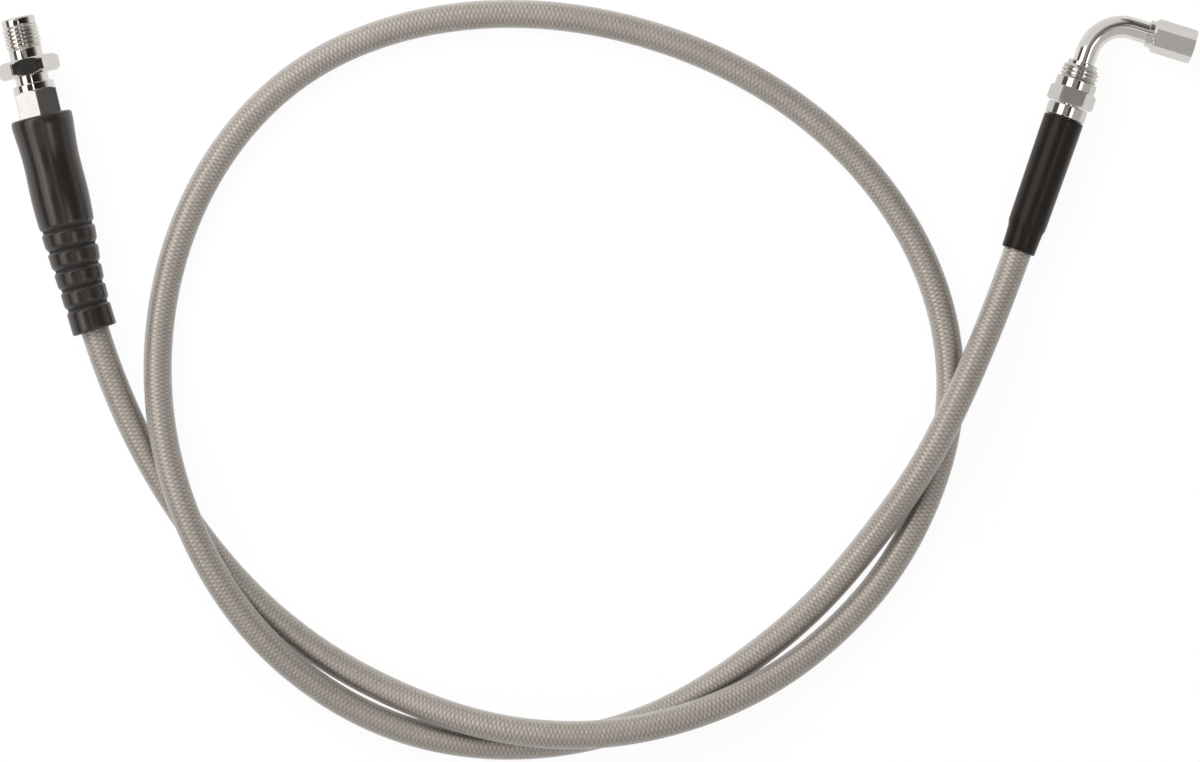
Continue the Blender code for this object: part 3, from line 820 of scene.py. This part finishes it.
def wire_finish(wire, gap):
    """Flat plaits of fine wire that cross over and under, from the braid's own weave map.

    Its colour holds painted shade in the gaps and between the wires, and a painted highlight on
    each plait's crown.
    """
    made, tree, shader = material("braid_wire")
    does = sums(tree)
    weave = add(tree, "ShaderNodeUVMap", {"uv_map": "weave"})
    spot = add(tree, "ShaderNodeSeparateXYZ", i0=weave)
    x, y = spot.outputs["X"], spot.outputs["Y"]
    rise_a = does("ADD", does("ADD", x, y), 200.5)
    rise_b = does("ADD", does("SUBTRACT", x, y), 200.5)
    in_a, in_b = does("FRACT", rise_a), does("FRACT", rise_b)
    place = does("ADD", does("FLOOR", rise_a), does("FLOOR", rise_b))
    first = does("LESS_THAN", does("FRACT", does("MULTIPLY", place, 0.5)), 0.25)
    across = chosen(tree, first, in_a, in_b)
    along = chosen(tree, first, in_b, in_a)
    wires = does("ABSOLUTE", does("SINE", does("MULTIPLY", across, 6 * math.pi)))
    side = does("SINE", does("MULTIPLY", across, math.pi))
    dive = does("SINE", does("MULTIPLY", along, math.pi))
    plait = does("POWER", does("MULTIPLY", side, dive), 0.55)
    # Painted light and shade: darker at the plaits' edges and between their wires, lighter on their
    # crowns.
    lit = does("MULTIPLY", plait, does("MULTIPLY_ADD", wires, 0.35, 0.65))
    tone = grain(tree, object_place(tree), 60.0, 2.0)
    even = does("MULTIPLY", lit, ranged(tree, tone, 0.3, 0.7, 0.88, 1.08))
    # The gap colour at the bottom of the ramp is painted shade, and the top is a painted highlight.
    tones = (0.12, gap), (0.55, times(wire, 0.82)), (0.95, times(wire, 1.08))
    height = does("ADD", plait, does("MULTIPLY", wires, 0.15))
    feed(
        tree,
        shader,
        Base_Color=shades(tree, even, *tones),
        Roughness=ranged(tree, lit, 0.1, 0.9, 0.46, 0.31),
        Metallic=0.6,
        Normal=bump(tree, height, 0.36, 0.0002),
    )
    return made


def patchy(name, shade, scale, detail, tones, dull):
    """A moulded material whose colour and gloss drift in patches, and those patches."""
    made, tree, shader = material(name)
    patch = grain(tree, object_place(tree), scale, detail)
    gloss = ranged(tree, patch, 0.3, 0.7, *dull)
    feed(tree, shader, Base_Color=mottled(tree, patch, shade, *tones), Roughness=gloss)
    return made, tree, shader, patch


def cover_finish(shade):
    """Thin clear plastic that hazes at its edges."""
    look = (160.0, 3.0, (0.94, 1.06), (0.14, 0.22))
    made, tree, shader, cloud = patchy("cover_plastic", shade, *look)
    edge = add(tree, "ShaderNodeLayerWeight", Blend=0.5).outputs["Facing"]
    levels = (0.30, 0.05), (0.46, 0.16), (0.58, 0.7), (0.70, 0.92)
    film = shades(tree, edge, *((place, (level,) * 3) for place, level in levels))
    feed(tree, shader, Alpha=film, Normal=bump(tree, cloud, 0.08, 0.0002))
    return made


def rubber_finish(shade):
    """Moulded rubber: satin, finely pitted, and dull down in its grip grooves, where painted shade
    darkens its colour.
    """
    made, tree, shader = material("boot_rubber")
    does = sums(tree)
    spot = object_place(tree)
    patch = grain(tree, spot, 90.0, 4.0)
    pits = grain(tree, spot, 3200.0, 2.0)
    # The groove mask paints shade into the grooves: the colour falls to a quarter there, and the
    # roughness rises.
    depth = add(tree, "ShaderNodeAttribute", {"attribute_name": "groove"}).outputs["Fac"]
    groove = does("POWER", depth, 2.0)
    worn = mottled(tree, patch, shade, 0.85, 1.2)
    satin = ranged(tree, patch, 0.3, 0.7, 0.21, 0.28)
    feed(
        tree,
        shader,
        Base_Color=mixed(tree, groove, worn, (*times(shade, 0.25), 1.0)),
        Roughness=does("MULTIPLY_ADD", groove, 0.45, satin),
        Specular_IOR_Level=0.65,
        Normal=bump(tree, pits, 0.25, 0.00004),
    )
    return made


def sleeve_finish(shade):
    """Shrunk plastic: smooth, a little wavy, with a soft gloss."""
    look = (140.0, 3.0, (0.85, 1.25), (0.24, 0.31))
    made, tree, shader, _ = patchy("sleeve_plastic", shade, *look)
    wave = grain(tree, object_place(tree), 260.0, 2.0)
    feed(tree, shader, Specular_IOR_Level=0.19, Normal=bump(tree, wave, 0.14, 0.0003))
    return made


def liner_finish(shade):
    """Milky plastic of the inner tube."""
    return patchy("liner_plastic", shade, 120.0, 2.0, (0.95, 1.0), (0.35, 0.45))[0]


# Pieces of the hose


def build_braid(hose, finishes):
    line = hose_line(BRAID_START, BRAID_START, BRAID_LINE_POINTS)
    seed = bpy.data.meshes.new("hose_line")
    seed.from_pydata(line.tolist(), [(i, i + 1) for i in range(len(line) - 1)], [])
    wire = wire_finish(finishes.wire, finishes.wire_gap_shade)
    mesh = grown(
        "braid_weave",
        braid_tree(),
        seed,
        Radius=hose.braid_radius, Rise=hose.braid_rise, Pitch=hose.weave_pitch,
        Columns=hose.weave_columns, Twist=hose.twist, Material=wire,
    )
    close_ends(mesh)
    piece("braid_weave", mesh, wire, "braid_steel", "hose_braid")


def build_cover(hose, finishes):
    line = hose_line(COVER_START_LEFT, COVER_START_RIGHT, LINE_POINTS)
    inside = hose.cover_radius - hose.cover_wall
    mesh = swept("clear_cover", line, hose.cover_radius, inside, 32)
    finish = cover_finish(finishes.cover)
    cover = piece("clear_cover", mesh, finish, "cover_plastic", "hose_cover", sharp=SHARP_ROUND)


# Pieces of the left end


def build_union(node, slot, union, finish, lay_down, roll, above, corner, thread_start):
    """A union: its hose stem and hex, what stands above the hex, and its thread."""
    stem = plain(
        (STEM_RADIUS, -STEM_LENGTH), (STEM_RADIUS, -STEM_SHOULDER_LENGTH),
        (STEM_SHOULDER, -STEM_SHOULDER_LENGTH), (STEM_SHOULDER, 0.0),
    )
    hexagon = hex_stations(union.hex_flats, 0.0, union.hex_length, HEX_CHAMFER, HEX_TRIM)
    outline = rounded(stem, STEM_ROUND) + hexagon + rounded(above, corner)
    body = turned(node + "_body", outline, lay_down, roll=roll)
    rightly_faced(body, SHARP_FACETED)
    mesh = joined(node + "_turned", [body, screw_thread(union, thread_start, lay_down, finish)])
    piece(node + "_turned", mesh, finish, slot, node)


def build_left_union(left, finishes):
    finish = chrome("left_union_chrome", finishes.chrome, LEFT_END)
    collar = left.hex_length + left.collar_length
    thread = collar + left.shank_length
    tip = thread + left.thread_length
    face = tip + left.tip_length
    root = left.thread_radius - left.thread_depth - THREAD_GAP
    chamfer = 0.4 * MM
    above = plain(
        (left.collar_radius, left.hex_length), (left.collar_radius, collar),
        (left.shank_radius, collar), (left.shank_radius, thread), (root, thread + 0.3 * MM),
        (root, tip - 0.3 * MM), (left.tip_radius, tip), (left.tip_radius, face - chamfer),
        (left.tip_radius - chamfer, face), (left.seat_radius, face),
        (STEM_BORE, face - left.seat_depth), (STEM_BORE, -STEM_LENGTH),
    )
    lying = LEFT_END, LEFT_HEX_ROLL
    build_union("left_union", "union_steel", left, finish, *lying, above, 0.14 * MM, thread)


def build_jam_nut(left, finishes):
    bottom = left.hex_length + left.collar_length + left.nut_standoff
    top = bottom + left.nut_thickness
    hole = left.shank_radius + 0.12 * MM
    rim = hole + 0.3 * MM
    outline = hex_stations(left.nut_flats, bottom, top, left.nut_chamfer, 0.13 * MM, 9)
    outline += rounded(plain((rim, top), (hole, top), (hole, bottom), (rim, bottom)), 0.2 * MM)
    mesh = turned("lock_nut", outline, LEFT_END, roll=NUT_ROLL)
    # A darker copy of the chrome for the nut: painted shade.
    finish = chrome("nut_chrome", finishes.chrome, LEFT_END, 0.94)
    piece("lock_nut", mesh, finish, "nut_steel", "jam_nut", sharp=SHARP_FACETED)


def boot_profile(boot):
    """The boot's outside, as (distance behind the mouth, radius, share of a groove's depth)."""
    end = BOOT_FIRST_GROOVE + (BOOT_GROOVES - 1) * boot.groove_pitch + BOOT_TAIL_LENGTH
    knots = (
        (BOOT_RIM_END, boot.mouth_radius), (BOOT_FLARE_END, boot.waist_radius + BOOT_FLARE_RISE),
        (BOOT_WAIST, boot.waist_radius), (BOOT_BELLY, boot.belly_radius),
        (BOOT_FIRST_GROOVE - 0.8 * MM, boot.rib_radius), (end - BOOT_TAIL_LENGTH, boot.end_radius),
        (end - BOOT_TAIL_ROUND, boot.end_radius),
    )
    body = smooth_line(knots, 220)
    cut = np.zeros(len(body))
    for k in range(BOOT_GROOVES):
        off = body[:, 0] - BOOT_FIRST_GROOVE - k * boot.groove_pitch
        off /= boot.groove_width / 2
        off[off < 0] *= GROOVE_FRONT
        cut += np.exp(-(np.abs(off) ** GROOVE_FALL))
    body[:, 1] -= boot.groove_depth * cut

    lip, tail = [], []
    rim = boot.mouth_radius - BOOT_RIM_ROUND
    for t in np.linspace(math.pi / 2, 0.0, 7):
        back = BOOT_RIM_ROUND * (1 - math.sin(t))
        lip.append((back, rim + BOOT_RIM_ROUND * math.cos(t), 0.0))
    for t in np.linspace(0.0, math.pi / 2, 6)[1:]:
        back = end - BOOT_TAIL_ROUND * (1 - math.sin(t))
        tail.append((back, boot.end_radius - BOOT_TAIL_ROUND * (1 - math.cos(t)), 0.0))
    return lip + [(back, radius, share) for (back, radius), share in zip(body, cut)] + tail


def boot_spine(length, overlap):
    """The boot's axis: straight from its mouth, then curving towards the loop."""
    radius = BOOT_BEND_LENGTH / BOOT_BEND
    bend_height = overlap - length + BOOT_BEND_LENGTH

    def place(height):
        turn = max(0.0, bend_height - height) / radius
        aside = radius * (1 - math.cos(turn))
        along = max(height, bend_height) - radius * math.sin(turn)
        return Matrix.Translation((aside, 0.0, along)) @ Matrix.Rotation(-turn, 4, "Y")

    return place


def build_boot(boot, finishes):
    outside = boot_profile(boot)
    length = outside[-1][0]
    walls = outside + [(length, BOOT_INSIDE[0][1] * MM, 0.0)] + plain_mm(*BOOT_INSIDE)
    outline = [(radius, boot.overlap - back, 0.0) for back, radius, _ in walls]
    spine = boot_spine(length, boot.overlap)
    mesh = turned("boot_moulding", outline, LEFT_END, spine=spine)
    groove = mesh.attributes.new("groove", "FLOAT", "POINT")
    groove.data.foreach_set("value", np.repeat([share for _, _, share in walls], SIDES))
    finish = rubber_finish(finishes.rubber)
    piece("boot_moulding", mesh, finish, "boot_rubber", "rubber_boot", sharp=SHARP_MOULDED)


# Pieces of the right end


def right_steps(right):
    """The heights of the right union's collar, thread and nose, each at its top."""
    collar = right.hex_length + right.collar_length
    thread = collar + right.thread_length
    return collar, thread, thread + right.nose_length


def build_right_union(right, finishes):
    # The right end's chrome is a darker copy of the plating: painted shade.
    finish = chrome("right_union_chrome", finishes.chrome, RIGHT_END, RIGHT_PAINTED_SHADE)
    collar, thread, face = right_steps(right)
    socket = right.tube_radius + 0.15 * MM
    floor = face - TUBE_SOCKET_DEPTH
    root = right.thread_radius - right.thread_depth - THREAD_GAP
    above = plain(
        (right.collar_radius, right.hex_length), (right.collar_radius, collar), (root, collar),
        (root, thread), (right.nose_radius, thread), (right.nose_radius, face), (socket, face),
        (socket, floor), (STEM_BORE, floor), (STEM_BORE, -STEM_LENGTH),
    )
    lying = RIGHT_END, RIGHT_HEX_ROLL
    build_union("right_union", "right_union_steel", right, finish, *lying, above, 0.16 * MM, collar)


def build_right_shell(finishes):
    outline = rounded(plain_mm(*SHELL_OUTLINE), 0.25 * MM)
    mesh = turned("crimp_shell", outline, RIGHT_END)
    # The shell's chrome is the same darker copy: painted shade.
    finish = chrome("right_shell_chrome", finishes.chrome, RIGHT_END, RIGHT_PAINTED_SHADE)
    slot = "right_shell_steel"
    piece("crimp_shell", mesh, finish, slot, "right_crimp_shell", sharp=SHARP_FACETED)


def build_sleeve(finishes):
    heights = np.linspace(-4.0, -33.4, 60) * MM
    radii = np.interp(-heights, (3.8 * MM, 33.8 * MM), (5.4 * MM, 5.1 * MM))
    outside = plain_mm(SLEEVE_FRONT) + plain(*zip(radii, heights)) + plain_mm(*SLEEVE_TAIL)

    def rippled(reach, angle, height):
        """Eight slight ripples over the crimp, which fade out towards both of its ends."""
        if reach[0] < SLEEVE_RIPPLED_FROM:
            return reach
        fade = np.clip((-height - 5 * MM) / (3 * MM), 0.0, 1.0)
        fade *= np.clip((height + 34 * MM) / (2 * MM), 0.0, 1.0)
        return reach + 0.03 * MM * fade * np.cos(8 * angle)

    outline = outside + plain_mm(*SLEEVE_INSIDE)
    mesh = turned("shrunk_sleeve", outline, RIGHT_END, shape=rippled)
    finish = sleeve_finish(finishes.sleeve)
    slot = "sleeve_plastic"
    piece("shrunk_sleeve", mesh, finish, slot, "shrink_sleeve", sharp=SHARP_MOULDED)


def tube_line(right):
    """The bent tube's middle, upright, and where its end piece starts."""
    face = right_steps(right)[-1]
    start = face - TUBE_DEPTH
    bend_height = face + right.straight_length
    points = [(0.0, 0.0, height) for height in np.linspace(start, bend_height, 12)[:-1]]
    for turn in np.linspace(0.0, right.bend, 40):
        aside = right.bend_radius * (1 - math.cos(turn))
        points.append((aside, 0.0, bend_height + right.bend_radius * math.sin(turn)))
    ahead = np.array((math.sin(right.bend), 0.0, math.cos(right.bend)))
    bend_end = np.array(points[-1])
    for reach in np.linspace(0.0, right.far_length + TUBE_IN_END_PIECE, 12)[1:]:
        points.append(tuple(bend_end + ahead * reach))
    return np.array(points), bend_end + ahead * right.far_length


def build_tube(right, finishes):
    line, _ = tube_line(right)
    flat = np.array([RIGHT_END @ Vector(point) for point in line])
    mesh = swept("tube_bend", flat, right.tube_radius, right.tube_radius - right.tube_wall, 64)
    # A brighter copy of the chrome for the tube: painted light.
    finish = chrome("tube_chrome", finishes.chrome, RIGHT_END, 1.02)
    piece("tube_bend", mesh, finish, "tube_steel", "bent_tube", sharp=SHARP_ROUND)


def build_end_piece(right, finishes):
    _, start = tube_line(right)
    turn = Matrix.Rotation(right.bend, 4, "Y") @ Matrix.Rotation(END_PIECE_ROLL, 4, "Z")
    lay_down = RIGHT_END @ Matrix.Translation(start) @ turn
    flats, face = right.end_flats, right.end_length
    corner = flats / math.sqrt(3)
    collar = 3.65 * MM
    collar_top = 1.3 * MM
    base = plain((collar - 0.4 * MM, 0.0), (collar, 0.0), (collar, collar_top))
    shoulder = [
        (collar + (corner - collar) * t, collar_top + 0.9 * MM * t, flats)
        for t in np.linspace(0.1, 1.0, 8)
    ]
    tip = [
        (corner - 1.1 * MM * (1 - math.cos(t)), face - 0.5 * MM * (1 - math.sin(t)), flats)
        for t in np.linspace(0.0, math.pi / 2, 8)
    ]
    port, web, socket = 9.2 * MM, 7.0 * MM, right.tube_radius + 0.1 * MM
    hollow = plain((2.8 * MM, face), (2.5 * MM, face), (2.5 * MM, port), (1.5 * MM, port))
    hollow += plain((1.5 * MM, web), (socket, web), (socket, 0.0))
    outline = rounded(base, 0.15 * MM) + shoulder + tip + rounded(hollow, 0.15 * MM)
    mesh = turned("tube_end_piece", outline, lay_down)
    # A darker copy of the chrome for the end piece: painted shade.
    finish = chrome("end_piece_chrome", finishes.chrome, lay_down, 0.93)
    piece("tube_end_piece", mesh, finish, "end_hex_steel", "tube_end_hex", sharp=SHARP_FACETED)


# Operators


def settings():
    return bpy.context.scene.clutch_line


class BuildHose(Operator):
    """Makes the wire braid and the clear cover, and finishes the liner"""

    bl_idname = "clutch_line.hose"
    bl_label = "Hose"

    def execute(self, context):
        line = settings()
        coat(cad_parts["hose_liner"].data, liner_finish(line.finishes.liner))
        build_braid(line.hose, line.finishes)
        build_cover(line.hose, line.finishes)
        return {"FINISHED"}


class BuildLeftUnion(Operator):
    """Makes the left union with its thread, and finishes the crimp shell behind it"""

    bl_idname = "clutch_line.left_union"
    bl_label = "Left Union"

    def execute(self, context):
        line = settings()
        build_left_union(line.left, line.finishes)
        finish = chrome("left_shell_chrome", line.finishes.chrome, LEFT_END)
        coat(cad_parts["left_crimp_shell"].data, finish)
        return {"FINISHED"}


class BuildJamNut(Operator):
    """Makes the lock nut on the left union"""

    bl_idname = "clutch_line.jam_nut"
    bl_label = "Lock Nut"

    def execute(self, context):
        line = settings()
        build_jam_nut(line.left, line.finishes)
        return {"FINISHED"}


class BuildBoot(Operator):
    """Makes the rubber boot over the left crimp"""

    bl_idname = "clutch_line.boot"
    bl_label = "Rubber Boot"

    def execute(self, context):
        line = settings()
        build_boot(line.boot, line.finishes)
        return {"FINISHED"}


class BuildRightUnion(Operator):
    """Makes the right union with its thread"""

    bl_idname = "clutch_line.right_union"
    bl_label = "Right Union"

    def execute(self, context):
        line = settings()
        build_right_union(line.right, line.finishes)
        return {"FINISHED"}


class BuildSleeve(Operator):
    """Makes the right crimp shell and the shrink sleeve over it"""

    bl_idname = "clutch_line.sleeve"
    bl_label = "Crimp Shell and Sleeve"

    def execute(self, context):
        line = settings()
        build_right_shell(line.finishes)
        build_sleeve(line.finishes)
        return {"FINISHED"}


class BuildTube(Operator):
    """Makes the bent tube and the hexagonal piece on its end"""

    bl_idname = "clutch_line.tube"
    bl_label = "Bent Tube and End Piece"

    def execute(self, context):
        line = settings()
        build_tube(line.right, line.finishes)
        build_end_piece(line.right, line.finishes)
        return {"FINISHED"}


def floor_finish(shade):
    """A pale floor that the camera and the metal see almost white, with the shadow kept."""
    made, tree, shader = material("floor_paper")
    does = sums(tree)
    patch = grain(tree, object_place(tree), 40.0, 3.0)
    feed(
        tree,
        shader,
        Base_Color=mottled(tree, patch, shade, 0.99, 1.0),
        Roughness=0.9,
        Specular_IOR_Level=0.0,
    )
    ray = tree.nodes.new("ShaderNodeLightPath").outputs
    seen = does("MAXIMUM", ray["Is Camera Ray"], ray["Is Glossy Ray"])
    seen = does("MAXIMUM", seen, ray["Is Transmission Ray"])
    glow = add(tree, "ShaderNodeEmission", Color=(*WHITE, 1.0), Strength=1.0)
    share = does("MULTIPLY", seen, FLOOR_GLOW)
    both = add(tree, "ShaderNodeMixShader", i0=share, i1=shader, i2=glow)
    feed(tree, tree.nodes["Material Output"], i0=both)
    return made


def strips(tree, place, *stops):
    """A ramp of (tilt in degrees, brightness) stops, warm in the strips."""
    marks = []
    for degrees, level in stops:
        tint = STRIP_TINT if level == STRIP else WHITE
        marks.append((0.5 + degrees / 180, tuple(level * part for part in tint)))
    return shades(tree, place, *marks)


def strips_overhead(tree, tilt, north):
    """The strips and gaps over the line, in three bands from south to north."""
    west = [(-88, TENT), (-85, 0.13), (-64, 0.09), (-60, STRIP), (-57, 1.4), (-50, 1.4)]
    west += [(-47, STRIP), (-36, STRIP), (-31, 0.055), (-3, 0.045)]
    east = (0, 1.2), (4, 1.2), (9, 0.25), (18, 0.3), (21, STRIP), (31, STRIP), (36, TENT)
    south_band = strips(tree, tilt, *west, *east)
    gap = [(-1, STRIP), (2.2, STRIP), (3.6, 0.3), (8, 0.06), (10, 0.03), (55, 0.03)]
    edge = [(62, 0.11), (70, 0.11), (76, TENT)]
    middle_band = strips(tree, tilt, *west, *gap, *edge)
    north_stops = [(-88, TENT), (-84, 0.13), (-55, 0.13), (-48, STRIP), (-24, STRIP)]
    north_stops += [(-19, 0.36), (6, 0.36), (8, 0.15), (11, 0.016), (50, 0.03)]
    north_band = strips(tree, tilt, *north_stops, *edge)
    over_middle = ranged(tree, north, -0.03, -0.015, 0.0, 1.0)
    over_north = ranged(tree, north, 0.033, 0.041, 0.0, 1.0)
    return mixed(tree, over_north, mixed(tree, over_middle, south_band, middle_band), north_band)


def tent_walls(tree, tilt, north):
    """The tent away from the line: pale, greyer in the south, with a leaning gap far north."""
    does = sums(tree)
    lean = does("MULTIPLY", does("MAXIMUM", does("SUBTRACT", north, 0.38), 0.0), 65 / 180)
    leaning = does("SUBTRACT", tilt, lean)
    gap_near = strips(tree, leaning, (-22, 0.95), (-9, 0.5), (-1, 0.12), (4, 0.12), (10, TENT))
    far_stops = [(-28, 0.9), (-18, 0.5), (-10, 0.32), (-3, 0.1), (3, 0.09), (9, 0.27)]
    gap_far = strips(tree, leaning, *far_stops, (45, 0.3), (60, TENT))
    far_north = mixed(tree, ranged(tree, north, 0.42, 0.55, 0.0, 1.0), gap_near, gap_far)
    south = ranged(tree, north, -0.36, -0.16, TENT, 0.5)
    return mixed(tree, ranged(tree, north, 0.0, 0.06, 0.0, 1.0), south, far_north)


def studio_world():
    """A light tent: pale all round, bright strips and dark gaps overhead for the metal."""
    world = bpy.data.worlds.new("light_tent")
    world.use_nodes = True
    bpy.context.scene.world = world
    tree = world.node_tree
    does = sums(tree)
    ahead = tree.nodes.new("ShaderNodeTexCoord").outputs["Generated"]
    east, north, up = add(tree, "ShaderNodeSeparateXYZ", i0=ahead).outputs
    tilt = ranged(tree, does("ARCTAN2", east, up), -math.pi / 2, math.pi / 2, 0.0, 1.0)
    overhead = strips_overhead(tree, tilt, north)
    walls = tent_walls(tree, tilt, north)
    reach = does("MULTIPLY_ADD", does("ABSOLUTE", east), 0.34, 0.12)
    off_line = does("SUBTRACT", does("ABSOLUTE", north), reach)
    tent = mixed(tree, ranged(tree, off_line, -0.01, 0.04, 1.0, 0.0), walls, overhead)
    ray = tree.nodes.new("ShaderNodeLightPath").outputs
    seen = mixed(tree, ray["Is Camera Ray"], tent, (*WHITE, 1.0))
    feed(tree, tree.nodes["Background"], Color=seen, Strength=1.0)


def soft_lamp(name, place, aim, width, watts):
    lamp = bpy.data.lights.new(name, "AREA")
    lamp.shape = "DISK"
    lamp.size = width
    lamp.energy = watts
    holder = placed(name, lamp)
    holder.location = place
    holder.rotation_euler = (Vector(aim) - Vector(place)).to_track_quat("-Z", "Y").to_euler()
    holder.visible_glossy = False


class BuildStage(Operator):
    """Sets the floor, the light tent, the lamps and the camera straight above"""

    bl_idname = "clutch_line.stage"
    bl_label = "Stage"

    def execute(self, context):
        scene = context.scene
        paper = bpy.data.meshes.new("floor_paper")
        signs = ((-1, -1), (1, -1), (1, 1), (-1, 1))
        corners = [(x * FLOOR_HALF, y * FLOOR_HALF, 0.0) for x, y in signs]
        paper.from_pydata(corners, [], [(0, 1, 2, 3)])
        paper.materials.append(floor_finish(settings().finishes.floor))
        floor = placed("floor_paper", paper)
        studio_world()
        soft_lamp("key_lamp", (-0.38, 0.46, 0.62), (-0.03, -0.02, 0.0), 0.6, 6.4)
        soft_lamp("fill_lamp", (0.7, 0.5, 1.0), (0.0, -0.05, 0.0), 0.9, 1.2)

        eye = bpy.data.cameras.new("camera_above")
        eye.lens = LENS
        eye.sensor_width = SENSOR
        camera = placed("camera_above", eye)
        camera.location = (*CAMERA_MIDDLE, LINE_HEIGHT + VIEW_WIDTH * LENS / SENSOR)
        scene.camera = camera
        scene.view_settings.view_transform = "Standard"
        return {"FINISHED"}


class ClutchLinePanel(Panel):
    """The pieces of the clutch line, in the order in which they are built"""

    bl_idname = "VIEW3D_PT_clutch_line"
    bl_label = "Clutch Line"
    bl_space_type = "VIEW_3D"
    bl_region_type = "UI"
    bl_category = "Clutch Line"

    def draw(self, context):
        for operator in OPERATORS:
            self.layout.operator(operator.bl_idname)
        line = context.scene.clutch_line
        for group in (line.hose, line.left, line.boot, line.right, line.finishes):
            box = self.layout.box()
            for label in group.__annotations__:
                box.prop(group, label)


GROUPS = (HoseSizes, LeftEndSizes, BootSizes, RightEndSizes, Finishes, ClutchLine)
OPERATORS = (
    BuildStage, BuildHose, BuildLeftUnion, BuildJamNut, BuildBoot, BuildRightUnion, BuildSleeve,
    BuildTube,
)


def register():
    for made in (*GROUPS, *OPERATORS, ClutchLinePanel):
        bpy.utils.register_class(made)
    bpy.types.Scene.clutch_line = PointerProperty(type=ClutchLine)


def unregister():
    del bpy.types.Scene.clutch_line
    for made in reversed((*GROUPS, *OPERATORS, ClutchLinePanel)):
        bpy.utils.unregister_class(made)


def main():
    register()
    bpy.ops.clutch_line.stage()
    bpy.ops.clutch_line.hose()
    bpy.ops.clutch_line.left_union()
    bpy.ops.clutch_line.jam_nut()
    bpy.ops.clutch_line.boot()
    bpy.ops.clutch_line.right_union()
    bpy.ops.clutch_line.sleeve()
    bpy.ops.clutch_line.tube()


if __name__ == "__main__":
    main()
